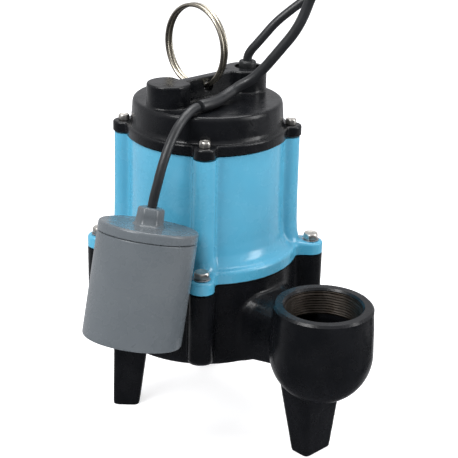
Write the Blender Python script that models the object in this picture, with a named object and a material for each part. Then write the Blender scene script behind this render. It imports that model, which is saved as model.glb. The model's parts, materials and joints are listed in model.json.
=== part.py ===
"""Submersible sump pump with a tethered float switch, modelled as an assembly of separate parts.

Lengths are millimetres in this script and metres in Blender. Shapes are drawn round the pump's own
axis, which is local Z with the feet at 0. The empty pump_frame carries that axis, so that the middle
of the pump's footprint is the world origin. Plan directions: "across" runs along the lifting web, and
"outlet" runs from the pump's axis to the discharge.
"""

import math

import bmesh
import bpy
from mathutils import Matrix, Vector

MM = 0.001
GAP = 0.3
PUMP_X = -18.2
PUMP_Y = 28.8
QUARTER = 90.0
DIAGONAL = math.sqrt(0.5)

# Heights of the stack, from the feet up.
VOLUTE_BOTTOM = 71.5
CHAMBER_FLOOR = 84.0
VOLUTE_TOP = 141.5
GASKET = 1.0
HOUSING_BOTTOM = VOLUTE_TOP + GASKET + 2 * GAP
LOWER_FLANGE_TOP = 152.5
HOUSING_FLOOR = 157.0
HOUSING_TOP = 242.0
COVER_BOTTOM = HOUSING_TOP + GASKET + 2 * GAP
COVER_FLANGE_TOP = 251.5
DECK = 272.0
RIB_TOP = 290.0

# Plan sizes.
LOWER_BOLT_RADIUS = 86.9
LOWER_LUG = 10.0
LOWER_DISC = 75.0
VOLUTE_DISC = 74.5
UPPER_BOLT_RADIUS = 66.5
UPPER_LUG = 8.5
COVER_DISC = 64.5
HOUSING_WALL = 62.0
HOUSING_BORE = 55.0
COLUMN_AT = 65.0
COLUMN = 9.0
CHAMBER = 66.0
SUCTION_EYE = 27.0
LUG_FILLET = 2.5
LUG_OFFSETS = (0.0, 3.5, 6.2, 8.8, 13.0, 22.0, 31.5, 40.5)

# Discharge.
OUTLET_AT = Vector((93.1, -96.8, 0.0))
OUTLET_RIM = 139.0
OUTLET_RIM_RADIUS = 38.6
BOWL_RADIUS = 40.2
BOWL_CENTRE = 99.5
OUTLET_BORE = 29.5
OUTLET_CHAMFER = 31.8
BOWL_INSIDE = 33.0
NECK_HALF_WIDTH = 27.0
NECK_CORNER = 14.0
NECK_BOTTOM = 75.0
NECK_TOP = 131.0
PASSAGE_HEIGHT = 106.0
PASSAGE_RADIUS = 20.0

# Cover rib, lifting ring and gland.
LEFT_LOBE = (-39.5, -2.5, 16.5)
RIGHT_LOBE = (41.0, 0.0, 17.5)
WEB_HALF = 3.8
GLAND_ACROSS = 43.6
NUT_RADIUS = 6.6
NUT_TOP = 297.3
NUT_BORE = 4.0
RING_HOLE_ACROSS = -3.0
RING_HOLE_HEIGHT = 282.0
RING_HOLE = 5.4
RING_OUTLET = -11.5
RING_HEIGHT = 311.4
RING_RADIUS = 32.0
WIRE = 3.4

# Rotor.
SHAFT_END_RADIUS = 6.0
SHAFT_RADIUS = 8.0
LOWER_BEARING = (162.3, 171.5)
UPPER_BEARING = (254.3, 262.0)
IMPELLER_RADIUS = 50.0
IMPELLER_TOP = 121.0
BLADES = 6

# Float: its axis runs from the middle of the cap's top face down to the cup's bottom.
FLOAT_TOP = Vector((-39.2, -99.3, 200.6))
FLOAT_BOTTOM = Vector((-50.7, -119.2, 115.8))
FLOAT_RADIUS = 37.4
FLOAT_LENGTH = 87.9
CAP_RIM = 7.5
NECK_HEIGHT = 13.5
TETHER = 7.2
FLOAT_PIVOT = Vector((-6.0, -46.6, 277.0))
BALL_RADIUS = 9.5
BALL_REST = 70.5

# Cords.
POWER_CORD = 7.2
FLOAT_CORD = 8.2
POWER_COIL = (300.0, 58.0, 40.0)
FLOAT_COIL = (300.0, -55.0, 46.0)
COIL_TURNS_ACROSS = 3
POWER_ROUTE = (
    (30.8, 30.8, 290.0),
    (30.8, 30.8, 297.5),
    (33.0, 30.6, 302.6),
    (37.4, 30.3, 308.2),
    (43.9, 30.0, 316.2),
    (51.6, 30.0, 325.5),
    (62.0, 30.3, 335.0),
    (76.0, 31.0, 346.0),
    (93.0, 33.0, 358.0),
    (112.0, 37.0, 368.0),
    (133.0, 44.0, 374.0),
    (155.0, 54.0, 375.0),
    (176.0, 65.0, 370.0),
    (196.0, 76.0, 358.0),
    (213.0, 86.0, 340.0),
    (226.0, 94.0, 316.0),
    (236.0, 101.0, 286.0),
    (243.0, 106.0, 250.0),
    (248.0, 110.0, 205.0),
    (251.0, 112.0, 155.0),
    (252.5, 113.0, 105.0),
    (252.8, 113.3, 65.0),
    (252.8, 112.8, 33.0),
    (252.8, 109.0, 18.0),
    (252.8, 99.5, 7.6),
    (252.8, 86.6, 3.9),
)
FLOAT_ROUTE = (
    (-3.0, -44.0, 277.1),
    (0.0, -40.9, 277.1),
    (4.2, -35.4, 277.0),
    (11.0, -22.5, 277.2),
    (18.2, -11.0, 279.4),
    (25.6, -7.5, 284.0),
    (33.0, -7.0, 288.2),
    (42.4, -9.0, 297.6),
    (50.0, -11.0, 307.4),
    (57.1, -12.5, 316.9),
    (64.0, -13.5, 326.3),
    (69.2, -14.0, 335.4),
    (73.0, -14.0, 344.4),
    (77.0, -14.0, 356.0),
    (83.0, -14.0, 368.0),
    (93.0, -14.0, 380.0),
    (108.0, -13.7, 389.0),
    (127.0, -13.0, 393.0),
    (147.0, -11.5, 391.5),
    (167.0, -9.5, 384.0),
    (185.0, -7.0, 371.0),
    (201.0, -4.5, 353.0),
    (214.0, -2.0, 329.0),
    (225.0, 0.5, 299.0),
    (233.0, 3.0, 263.0),
    (239.0, 5.3, 220.0),
    (243.0, 7.0, 170.0),
    (245.2, 8.2, 120.0),
    (245.8, 8.6, 75.0),
    (245.8, 8.0, 38.0),
    (245.8, 3.8, 21.0),
    (245.8, -7.5, 8.4),
    (245.8, -22.0, 4.4),
)
TETHER_ROUTE = (
    (-6.9, -48.6, 277.1),
    (-10.0, -54.0, 276.6),
    (-14.6, -62.0, 273.9),
    (-19.6, -71.5, 268.4),
    (-23.6, -79.0, 261.5),
    (-27.6, -86.0, 252.0),
    (-30.8, -90.4, 241.5),
    (-33.4, -93.2, 230.9),
    (-35.7, -95.0, 221.5),
    (-37.1, -96.0, 214.4),
)


def across(distance, outlet, height):
    """A point from its distance along the web, its distance towards the discharge and its height."""
    return Vector(((distance + outlet) * DIAGONAL, (distance - outlet) * DIAGONAL, height))


# ---------------------------------------------------------------------------------------------
# Helpers
# ---------------------------------------------------------------------------------------------


def clear_scene():
    for obj in list(bpy.data.objects):
        bpy.data.objects.remove(obj, do_unlink=True)


def material(name, colour, roughness, metallic=0.0):
    finish = bpy.data.materials.get(name)
    if finish:
        return finish
    finish = bpy.data.materials.new(name)
    finish.use_nodes = True
    shader = finish.node_tree.nodes["Principled BSDF"]
    shader.inputs["Base Color"].default_value = (*colour, 1.0)
    shader.inputs["Roughness"].default_value = roughness
    shader.inputs["Metallic"].default_value = metallic
    return finish


BLACK_CASTING = ("black_casting", (0.012, 0.013, 0.016), 0.35, 0.0)
BLUE_CASTING = ("blue_casting", (0.09, 0.39, 0.60), 0.3, 0.0)
STAINLESS = ("stainless", (0.62, 0.61, 0.59), 0.28, 1.0)
BRIGHT_WIRE = ("bright_wire", (0.60, 0.57, 0.51), 0.25, 1.0)
RUBBER = ("black_rubber", (0.02, 0.02, 0.022), 0.6, 0.0)
CORD_JACKET = ("cord_jacket", (0.035, 0.038, 0.042), 0.5, 0.0)
GREY_FLOAT = ("grey_float", (0.14, 0.16, 0.18), 0.38, 0.0)
GASKET_PAPER = ("gasket", (0.03, 0.03, 0.03), 0.8, 0.0)
STEEL = ("steel", (0.45, 0.46, 0.48), 0.35, 1.0)
LAMINATION = ("lamination", (0.30, 0.31, 0.33), 0.5, 1.0)
COPPER = ("winding_copper", (0.72, 0.32, 0.13), 0.4, 1.0)
CERAMIC = ("ceramic", (0.85, 0.84, 0.80), 0.3, 0.0)
BRASS = ("brass", (0.72, 0.54, 0.24), 0.3, 1.0)
NYLON = ("nylon", (0.75, 0.73, 0.66), 0.5, 0.0)
RAW_CASTING = ("raw_casting", (0.16, 0.16, 0.17), 0.6, 0.8)


def add_object(name, data, finish, pivot=(0.0, 0.0, 0.0)):
    obj = bpy.data.objects.new(name, data)
    bpy.context.scene.collection.objects.link(obj)
    obj.parent = bpy.data.objects["pump_frame"]
    obj.location = Vector(pivot) * MM
    if finish:
        data.materials.append(material(*finish))
    return obj


def add_solid(name, shape, finish, pivot=(0.0, 0.0, 0.0), matrix=None):
    """Turns a bmesh in pump millimetres into an object whose origin is the pivot."""
    if matrix:
        bmesh.ops.transform(shape, matrix=matrix, verts=shape.verts)
    bmesh.ops.recalc_face_normals(shape, faces=shape.faces)
    bmesh.ops.translate(shape, vec=-Vector(pivot), verts=shape.verts)
    bmesh.ops.scale(shape, vec=(MM, MM, MM), verts=shape.verts)
    mesh = bpy.data.meshes.new(name)
    shape.to_mesh(mesh)
    shape.free()
    return add_object(name, mesh, finish, pivot)


def combine(obj, operation, name, shape):
    """Adds the shape to the object, or cuts it away, with a Boolean on a hidden helper."""
    helper = add_solid(f"{obj.name}_{name}", shape, None, pivot=obj.location / MM)
    helper.hide_render = True
    helper.display_type = "WIRE"
    modifier = obj.modifiers.new(name, "BOOLEAN")
    modifier.operation = operation
    modifier.object = helper


def join_faces(shape, low, high):
    """Faces between two rings of vertices, where a ring of one vertex is a pole."""
    if len(low) == 1 and len(high) == 1:
        return
    if len(low) == 1 or len(high) == 1:
        pole, ring = (low, high) if len(low) == 1 else (high, low)
        for first, second in zip(ring, ring[1:] + ring[:1]):
            shape.faces.new((pole[0], first, second))
        return
    count = len(low)
    for index in range(count):
        after = (index + 1) % count
        shape.faces.new((low[index], low[after], high[after], high[index]))


def loft(rings, loop=False):
    """A solid through rings of points. A loop joins the last ring to the first, or else both are capped."""
    shape = bmesh.new()
    built = [[shape.verts.new(point) for point in ring] for ring in rings]
    for low, high in zip(built, built[1:]):
        join_faces(shape, low, high)
    if loop:
        join_faces(shape, built[-1], built[0])
    else:
        for ring in (built[0], built[-1]):
            if len(ring) > 2:
                shape.faces.new(ring)
    return shape


def circle(radius, height, steps, centre=(0.0, 0.0)):
    if radius == 0:
        return [(centre[0], centre[1], height)]
    angles = [math.tau * index / steps for index in range(steps)]
    return [(centre[0] + radius * math.cos(a), centre[1] + radius * math.sin(a), height) for a in angles]


def turned(profile, steps=48, centre=(0.0, 0.0)):
    """A solid turned from (radius, height) points: a closed loop, or a line that ends on the axis."""
    rings = [circle(radius, height, steps, centre) for radius, height in profile]
    return loft(rings, loop=profile[0][0] > 0)


def tube(inner, outer, low, high, steps=48):
    return turned([(inner, low), (outer, low), (outer, high), (inner, high)], steps)


def arc(centre, radius, start, end, steps):
    """(radius, height) points on an arc, with angles in degrees from the radius direction."""
    angles = [math.radians(start + (end - start) * index / steps) for index in range(steps + 1)]
    return [(centre[0] + radius * math.cos(a), centre[1] + radius * math.sin(a)) for a in angles]


def at_quarters(make, radius):
    """Copies of a shape at the four bolt positions, in one bmesh."""
    whole = bmesh.new()
    for index in range(4):
        angle = math.radians(QUARTER * index)
        one = make()
        bmesh.ops.translate(one, vec=(radius * math.cos(angle), radius * math.sin(angle), 0), verts=one.verts)
        mesh = bpy.data.meshes.new("scratch")
        one.to_mesh(mesh)
        one.free()
        whole.from_mesh(mesh)
        bpy.data.meshes.remove(mesh)
    return whole


def lug_reach(offset, disc, lug_at, lug):
    """Radius of an outline with a round-ended lug on each quarter, at an angle off the lug's middle."""
    sine = math.sin(math.radians(abs(offset)))
    cosine = math.cos(math.radians(offset))
    side = lug / max(sine, 1e-6)
    under_root = lug * lug - (lug_at * sine) ** 2
    tip = lug_at * cosine + math.sqrt(under_root) if under_root > 0 else lug_at
    reach = min(tip, side) if lug_at * sine < lug else side
    return (reach + disc + math.sqrt((reach - disc) ** 2 + LUG_FILLET**2)) / 2 if abs(offset) > 4 else reach


def lugged(disc, lug_at, lug, height, prominence=1.0):
    """The outline of a flange or wall with four lugs, faded towards its disc by prominence."""
    points = []
    for quarter in range(4):
        offsets = [-offset for offset in reversed(LUG_OFFSETS[1:])] + list(LUG_OFFSETS)
        for offset in offsets:
            reach = lug_reach(offset, disc, lug_at, lug)
            radius = disc + prominence * (reach - disc)
            angle = math.radians(QUARTER * quarter + offset)
            points.append((radius * math.cos(angle), radius * math.sin(angle), height))
    return points


def plain(radius, height):
    """A circle with the same points as a lugged outline, so that the two can be lofted together."""
    return lugged(radius, radius, 0.001, height, prominence=0.0)


def rounded_box(low, high, corner, top_corner=None):
    """Eight points of a box's outline with cut corners, counter-clockwise."""
    x0, y0 = low
    x1, y1 = high
    top = corner if top_corner is None else top_corner
    return [
        (x0 + corner, y0),
        (x1 - corner, y0),
        (x1, y0 + corner),
        (x1, y1 - top),
        (x1 - top, y1),
        (x0 + top, y1),
        (x0, y1 - top),
        (x0, y0 + corner),
    ]


def smooth_route(points, spacing):
    """Points along a smooth curve through the route's points, about the spacing apart."""
    knots = [Vector(point) for point in points]
    ends = [2 * knots[0] - knots[1], *knots, 2 * knots[-1] - knots[-2]]
    route = [knots[0]]
    for before, start, end, after in zip(ends, ends[1:], ends[2:], ends[3:]):
        count = max(1, round((end - start).length / spacing))
        for index in range(1, count + 1):
            t = index / count
            bend = 2 * before - 5 * start + 4 * end - after
            twist = 3 * start - before - 3 * end + after
            route.append(0.5 * (2 * start + (end - before) * t + bend * t * t + twist * t**3))
    return route


def rod(name, points, diameter, finish, pivot=(0.0, 0.0, 0.0), sides=2, sizes=()):
    """A round cord or wire along the points, as a bevelled curve with closed ends. Sizes thin its first points."""
    curve = bpy.data.curves.new(name, "CURVE")
    curve.dimensions = "3D"
    curve.bevel_depth = diameter / 2 * MM
    curve.bevel_resolution = sides
    curve.use_fill_caps = True
    spline = curve.splines.new("POLY")
    spline.points.add(len(points) - 1)
    for place, point in zip(spline.points, points):
        place.co = (*((Vector(point) - Vector(pivot)) * MM), 1.0)
    for place, size in zip(spline.points, sizes):
        place.radius = size
    return add_object(name, curve, finish, pivot)


# ---------------------------------------------------------------------------------------------
# Castings
# ---------------------------------------------------------------------------------------------


def leg(top, foot, twist_degrees=0.0):
    """A tapered leg between two rounded rectangles, each (x, y, half x, half y, height)."""
    rings = []
    turn = Matrix.Rotation(math.radians(twist_degrees), 4, "Z")
    lift = 3.0
    for x, y, half_x, half_y, height in (top, (*foot[:4], foot[4] + lift), foot):
        shrink = 2.0 if height == foot[4] else 0.0
        low = (-half_x + shrink, -half_y + shrink)
        high = (half_x - shrink, half_y - shrink)
        outline = rounded_box(low, high, min(half_x, half_y) * 0.45)
        rings.append([turn @ Vector((px, py, 0)) + Vector((x, y, height)) for px, py in outline])
    return loft(rings)


def volute_casing():
    """Pump chamber, discharge and three legs in one casting."""
    sections = (
        (VOLUTE_TOP, VOLUTE_DISC, 1.0),
        (94.0, VOLUTE_DISC + 1.0, 1.0),
        (86.0, VOLUTE_DISC + 1.2, 0.92),
        (81.0, VOLUTE_DISC + 1.2, 0.65),
        (77.0, VOLUTE_DISC + 0.8, 0.0),
        (73.5, VOLUTE_DISC - 0.5, 0.0),
        (VOLUTE_BOTTOM, VOLUTE_DISC - 3.5, 0.0),
    )
    rings = [lugged(disc, LOWER_BOLT_RADIUS, LOWER_LUG, z, k) for z, disc, k in sections]
    rings.append(plain(SUCTION_EYE, VOLUTE_BOTTOM))
    rings.append(plain(SUCTION_EYE - 1.0, CHAMBER_FLOOR))
    rings.append(plain(CHAMBER - 2.0, CHAMBER_FLOOR))
    rings.append(plain(CHAMBER, CHAMBER_FLOOR + 4.0))
    rings.append(plain(CHAMBER, VOLUTE_TOP))
    casing = add_solid("volute_casing", loft(rings, loop=True), BLACK_CASTING)

    low = [across(t, 67.5, z) for t, z in rounded_box((-NECK_HALF_WIDTH, NECK_BOTTOM), (NECK_HALF_WIDTH, NECK_TOP + 1), 5, NECK_CORNER)]
    high = [across(t, 118, z) for t, z in rounded_box((-24.0, NECK_BOTTOM + 1), (24.0, NECK_TOP - 3), 5, NECK_CORNER)]
    combine(casing, "UNION", "neck", loft([low, high]))
    bowl = [(0.0, BOWL_CENTRE - BOWL_RADIUS), *arc((0.0, BOWL_CENTRE), BOWL_RADIUS, -75, 0, 5)]
    bowl += [(OUTLET_RIM_RADIUS + 0.6, 124.0), (OUTLET_RIM_RADIUS, OUTLET_RIM - 1.0)]
    bowl += [(OUTLET_RIM_RADIUS - 1.0, OUTLET_RIM), (0.0, OUTLET_RIM)]
    combine(casing, "UNION", "bowl", turned(bowl, 40, OUTLET_AT.xy))
    combine(casing, "UNION", "left_leg", leg((-59.0, -2.0, 16.0, 14.5, 80.0), (-65.2, -2.0, 11.2, 12.0, 0.0)))
    rear = leg((2.0, 62.0, 15.0, 13.0, 80.0), (4.0, 77.5, 11.5, 9.5, 0.0))
    combine(casing, "UNION", "rear_leg", rear)
    front_top = across(4.0, 119.0, 86.0)
    front_foot = across(12.0, 116.5, 0.0)
    front = leg((front_top.x, front_top.y, 27.0, 17.0, 86.0), (front_foot.x, front_foot.y, 14.5, 9.0, 0.0), 45.0)
    combine(casing, "UNION", "front_leg", front)

    passage = turned([(0.0, 0.0), (PASSAGE_RADIUS, 0.0), (PASSAGE_RADIUS, 74.0), (0.0, 74.0)], 24)
    outwards = Matrix.Translation(across(0.0, 60.0, PASSAGE_HEIGHT)) @ Matrix.Rotation(math.radians(-45), 4, "Z")
    bmesh.ops.transform(passage, matrix=outwards @ Matrix.Rotation(math.radians(90), 4, "Y"), verts=passage.verts)
    combine(casing, "DIFFERENCE", "passage", passage)
    bore_start = math.degrees(math.acos(OUTLET_BORE / BOWL_INSIDE))
    bore = [(0.0, BOWL_CENTRE - BOWL_INSIDE), *arc((0.0, BOWL_CENTRE), BOWL_INSIDE, -72, bore_start, 5)]
    bore += [(OUTLET_BORE, OUTLET_RIM - 2.5), (OUTLET_CHAMFER, OUTLET_RIM + 0.2)]
    bore += [(OUTLET_CHAMFER, OUTLET_RIM + 5), (0.0, OUTLET_RIM + 5)]
    combine(casing, "DIFFERENCE", "bore", turned(bore, 36, OUTLET_AT.xy))
    combine(casing, "DIFFERENCE", "bolt_holes", at_quarters(lambda: peg(3.4, 121.0, VOLUTE_TOP + 5), LOWER_BOLT_RADIUS))


def peg(radius, low, high, steps=12):
    """A cylinder to cut a hole with, turned a little so that its corners miss the casting's own edges."""
    shape = turned([(0.0, low), (radius, low), (radius, high), (0.0, high)], steps)
    bmesh.ops.rotate(shape, matrix=Matrix.Rotation(math.radians(8), 3, "Z"), verts=shape.verts)
    return shape


def motor_housing():
    """Oil-filled housing: a wall with four columns, the lower flange, the lower bearing and seal seats."""
    flange = (LOWER_BOLT_RADIUS, LOWER_LUG)
    rings = [
        lugged(LOWER_DISC - 0.8, flange[0], flange[1] - 0.8, HOUSING_BOTTOM),
        lugged(LOWER_DISC, *flange, HOUSING_BOTTOM + 0.8),
        lugged(LOWER_DISC, *flange, LOWER_FLANGE_TOP - 1.0),
        lugged(LOWER_DISC - 1.0, flange[0], flange[1] - 1.0, LOWER_FLANGE_TOP),
        lugged(69.5, COLUMN_AT + 1.2, COLUMN + 0.6, LOWER_FLANGE_TOP),
        lugged(65.5, COLUMN_AT + 1.2, COLUMN + 0.6, 158.0),
        lugged(63.6, COLUMN_AT + 1.0, COLUMN + 0.4, 166.0),
        lugged(HOUSING_WALL, COLUMN_AT, COLUMN, HOUSING_TOP - 1.0),
        lugged(HOUSING_WALL - 0.8, COLUMN_AT, COLUMN - 0.8, HOUSING_TOP),
    ]
    inside = (
        (HOUSING_BORE, HOUSING_TOP),
        (HOUSING_BORE, HOUSING_FLOOR),
        (22.0, HOUSING_FLOOR),
        (21.0, LOWER_BEARING[1] + 0.5),
        (15.1, LOWER_BEARING[1] + 0.5),
        (15.1, LOWER_BEARING[0] - GAP),
        (7.5, LOWER_BEARING[0] - GAP),
        (7.5, 150.3),
        (13.3, 150.3),
        (13.3, HOUSING_BOTTOM),
    )
    rings += [plain(radius, height) for radius, height in inside]
    housing = add_solid("motor_housing", loft(rings, loop=True), BLUE_CASTING)
    low_holes = at_quarters(lambda: peg(3.6, HOUSING_BOTTOM - 5, LOWER_FLANGE_TOP + 12), LOWER_BOLT_RADIUS)
    combine(housing, "DIFFERENCE", "bolt_holes", low_holes)
    high_holes = at_quarters(lambda: peg(2.8, HOUSING_TOP - 16, HOUSING_TOP + 5), UPPER_BOLT_RADIUS)
    combine(housing, "DIFFERENCE", "screw_holes", high_holes)


def rounded_disc(radius, low, high, bevel, centre, steps=40):
    """A plug with a bevelled top edge."""
    profile = [(0.0, low), (radius, low), (radius, high - bevel), (radius - bevel, high), (0.0, high)]
    return turned(profile, steps, centre)


def top_cover():
    """Cover with its upper flange, the upper bearing's seat and the dog-bone lifting rib."""
    lug = (UPPER_BOLT_RADIUS, UPPER_LUG)
    rings = [
        plain(13.3, UPPER_BEARING[1] + GAP),
        plain(13.3, UPPER_BEARING[0] - 1.0),
        plain(17.0, UPPER_BEARING[0] - 1.0),
        plain(17.5, 264.0),
        plain(49.0, 264.0),
        plain(52.0, COVER_BOTTOM),
        lugged(COVER_DISC, *lug, COVER_BOTTOM),
        lugged(COVER_DISC - 0.3, *lug, COVER_FLANGE_TOP - 1.0),
        lugged(COVER_DISC - 1.2, lug[0], lug[1] - 1.0, COVER_FLANGE_TOP),
        plain(61.6, COVER_FLANGE_TOP),
        plain(60.6, COVER_FLANGE_TOP + 3.0),
        plain(59.4, DECK - 1.5),
        plain(58.0, DECK),
    ]
    cover = add_solid("top_cover", loft(rings), BLACK_CASTING)
    for name, (distance, outlet, radius) in (("left_lobe", LEFT_LOBE), ("right_lobe", RIGHT_LOBE)):
        lobe = rounded_disc(radius, DECK - 4, RIB_TOP, 1.2, across(distance, outlet, 0).xy)
        combine(cover, "UNION", name, lobe)
    ends = [across(t, n, 0) for t, n in ((-42, -WEB_HALF), (41, -WEB_HALF), (41, WEB_HALF), (-42, WEB_HALF))]
    web = loft([[(p.x, p.y, z) for p in ends] for z in (DECK - 3.5, RIB_TOP - 0.4)])
    combine(cover, "UNION", "web", web)
    eye = turned([(0.0, -9.0), (RING_HOLE, -9.0), (RING_HOLE, 9.0), (0.0, 9.0)], 24)
    place = Matrix.Translation(across(RING_HOLE_ACROSS, 0.0, RING_HOLE_HEIGHT))
    tip_over = Matrix.Rotation(math.radians(-45), 4, "Z") @ Matrix.Rotation(math.radians(90), 4, "Y")
    bmesh.ops.transform(eye, matrix=place @ tip_over, verts=eye.verts)
    combine(cover, "DIFFERENCE", "ring_hole", eye)
    gland = [(0.0, 255.0), (4.6, 255.0), (4.6, 275.7), (6.1, 275.7), (6.1, 288.5), (9.5, 288.5), (9.5, 295.0), (0.0, 295.0)]
    combine(cover, "DIFFERENCE", "cord_hole", turned(gland, 24, across(GLAND_ACROSS, 0, 0).xy))
    holes = at_quarters(lambda: peg(3.0, COVER_BOTTOM - 5, COVER_FLANGE_TOP + 8), UPPER_BOLT_RADIUS)
    combine(cover, "DIFFERENCE", "screw_holes", holes)


def gaskets():
    low, high = VOLUTE_TOP + GAP, VOLUTE_TOP + GAP + GASKET
    add_solid("volute_gasket", tube(CHAMBER + 0.6, LOWER_DISC - 1.0, low, high, 36), GASKET_PAPER)
    low, high = HOUSING_TOP + GAP, HOUSING_TOP + GAP + GASKET
    add_solid("cover_gasket", tube(HOUSING_BORE + 0.6, HOUSING_WALL - 1.2, low, high, 36), GASKET_PAPER)


# ---------------------------------------------------------------------------------------------
# Fasteners and gland
# ---------------------------------------------------------------------------------------------


def cover_screw(name, centre):
    """Round-head screw through a cover lug into a housing column."""
    top = COVER_FLANGE_TOP + GAP
    profile = [(0.0, 228.0), (2.4, 228.0), (2.4, top), (4.4, top), (4.3, top + 1.4), (3.2, top + 2.6), (0.0, top + 3.1)]
    add_solid(name, turned(profile, 14, centre), STAINLESS)


def flange_bolt(name, centre):
    """Hexagon bolt through a lower lug into a volute column."""
    seat = LOWER_FLANGE_TOP + 1.2 + 2 * GAP
    steps = 12
    corner = 6.4
    rings = [circle(3.0, 124.0, steps), circle(3.0, seat, steps)]
    hexagon = []
    for index in range(steps):
        angle = math.tau * index / steps
        local = (angle % (math.pi / 3)) - math.pi / 6
        reach = corner * math.cos(math.pi / 6) / math.cos(local)
        hexagon.append((reach * math.cos(angle), reach * math.sin(angle)))
    for shrink, height in ((1.0, seat), (1.0, seat + 4.0), (0.86, seat + 4.6)):
        rings.append([(x * shrink, y * shrink, height) for x, y in hexagon])
    add_solid(name, loft(rings), STAINLESS, matrix=Matrix.Translation((*centre, 0.0)))


def washer(name, centre):
    low = LOWER_FLANGE_TOP + GAP
    shape = tube(3.5, 7.6, low, low + 1.2, 18)
    add_solid(name, shape, STEEL, matrix=Matrix.Translation((*centre, 0.0)))


def fasteners():
    for number, side in enumerate(("right", "rear", "left", "front")):
        angle = math.radians(QUARTER * number)
        outward = Vector((math.cos(angle), math.sin(angle)))
        cover_screw(f"cover_screw_{side}", outward * UPPER_BOLT_RADIUS)
        flange_bolt(f"flange_bolt_{side}", outward * LOWER_BOLT_RADIUS)
        washer(f"flange_washer_{side}", outward * LOWER_BOLT_RADIUS)


def gland():
    centre = across(GLAND_ACROSS, 0, 0)
    place = Matrix.Translation(centre)
    nut = [
        (NUT_BORE, 281.6),
        (5.8, 281.6),
        (5.8, 288.8),
        (8.6, 288.8),
        (8.6, 290.4),
        (NUT_RADIUS, 291.0),
        (NUT_RADIUS, NUT_TOP - 0.8),
        (NUT_RADIUS - 0.8, NUT_TOP),
        (NUT_BORE, NUT_TOP),
    ]
    add_solid("gland_nut", turned(nut, 24), RUBBER, matrix=place)
    add_solid("gland_bushing", tube(3.2, 5.8, 276.0, 281.3, 24), RUBBER, matrix=place)


def lifting_ring():
    """Split ring of two turns of wire lying side by side, through the web's eye."""
    pivot = across(RING_HOLE_ACROSS, 0.0, RING_HOLE_HEIGHT)
    centre = across(RING_HOLE_ACROSS, RING_OUTLET, RING_HEIGHT)
    half = WIRE / 2
    section = [(half * math.cos(a), half * math.sin(a)) for a in (math.radians(45 * i) for i in range(8))]
    rings = []
    for index in range(44):
        angle = math.tau * index / 44
        ring = []
        for radial, side in section:
            shift = side + math.copysign(half, side) if abs(side) > 0.01 else 0.0
            reach = RING_RADIUS + radial
            ring.append(centre + across(shift, reach * math.cos(angle), reach * math.sin(angle)))
        rings.append(ring)
    add_solid("lifting_ring", loft(rings, loop=True), BRIGHT_WIRE, pivot=pivot)


# ---------------------------------------------------------------------------------------------
# Motor and pump internals
# ---------------------------------------------------------------------------------------------


def stator():
    add_solid("stator_core", tube(33.0, HOUSING_BORE - GAP, 178.0, 222.0, 32), LAMINATION)
    crown = [(34.5, 222.3), (49.5, 222.3), (50.0, 232.0), (46.0, 238.0), (38.5, 238.0), (34.5, 232.0)]
    add_solid("winding_upper", turned(crown, 28), COPPER)
    crown = [(34.5, 168.0), (38.5, 162.0), (46.0, 162.0), (50.0, 168.0), (49.5, 177.7), (34.5, 177.7)]
    add_solid("winding_lower", turned(crown, 28), COPPER)


def rotating_parts():
    """Everything that turns with the shaft."""
    shaft = [
        (0.0, 91.0),
        (4.0, 91.0),
        (4.0, 103.9),
        (SHAFT_END_RADIUS, 103.9),
        (SHAFT_END_RADIUS, LOWER_BEARING[1] + 1.0),
        (SHAFT_RADIUS, LOWER_BEARING[1] + 1.0),
        (SHAFT_RADIUS, 252.5),
        (SHAFT_END_RADIUS, 252.5),
        (SHAFT_END_RADIUS, 261.5),
        (0.0, 261.5),
    ]
    add_solid("shaft", turned(shaft, 24), STEEL)
    add_solid("rotor_core", tube(SHAFT_RADIUS + GAP, 32.3, 180.0, 220.0, 32), LAMINATION)
    nut_rings = [circle(4.3, 97.0, 18), circle(8.0, 97.0, 18), circle(8.5, 98.0, 18), circle(8.5, 103.4, 18)]
    nut_rings.append(circle(4.3, 103.4, 18))
    add_solid("impeller_nut", loft(nut_rings, loop=True), STAINLESS)
    impeller()
    add_solid("seal_head", tube(6.4, 11.5, 137.2, 143.1, 24), CERAMIC)
    turns = 5
    coil = []
    for index in range(turns * 12 + 1):
        angle = math.tau * index / 12
        coil.append((8.6 * math.cos(angle), 8.6 * math.sin(angle), 123.0 + 1.0 + 12.0 * index / (turns * 12)))
    rod("seal_spring", coil, 1.6, STAINLESS, sides=1)


def impeller():
    """Vortex impeller: a back disc with blades hanging under it, and a hub on the shaft."""
    bore = SHAFT_END_RADIUS + GAP
    profile = [
        (bore, 103.8),
        (12.5, 103.8),
        (14.0, 115.0),
        (IMPELLER_RADIUS, 117.0),
        (IMPELLER_RADIUS, IMPELLER_TOP),
        (13.0, IMPELLER_TOP),
        (12.0, 122.7),
        (bore, 122.7),
    ]
    wheel = add_solid("impeller", turned(profile, 32), RAW_CASTING)
    blades = bmesh.new()
    for number in range(BLADES):
        start = math.tau * number / BLADES
        outline = []
        for side in (2.0, -2.0):
            line = []
            for step in range(5):
                radius = 17.0 + (IMPELLER_RADIUS - 18.5) * step / 4
                angle = start - 0.9 * step / 4
                line.append((radius, angle + side / radius))
            outline += line if side > 0 else line[::-1]
        rings = []
        for height in (99.0, 119.0):
            rings.append([(r * math.cos(a), r * math.sin(a), height) for r, a in outline])
        low, high = [[blades.verts.new(point) for point in ring] for ring in rings]
        join_faces(blades, low, high)
        blades.faces.new(low)
        blades.faces.new(high)
    combine(wheel, "UNION", "blades", blades)


def bearings_and_seal():
    for name, (low, high), outer in (("lower", LOWER_BEARING, 14.8), ("upper", UPPER_BEARING, 13.0)):
        race = (outer - SHAFT_END_RADIUS) * 0.32
        add_solid(f"{name}_bearing_outer", tube(outer - race, outer, low, high, 24), STEEL)
        inner = SHAFT_END_RADIUS + GAP
        add_solid(f"{name}_bearing_inner", tube(inner, inner + race, low, high, 24), STEEL)
    add_solid("seal_seat", tube(7.4, 13.0, 143.4, 150.0, 24), CERAMIC)


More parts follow.
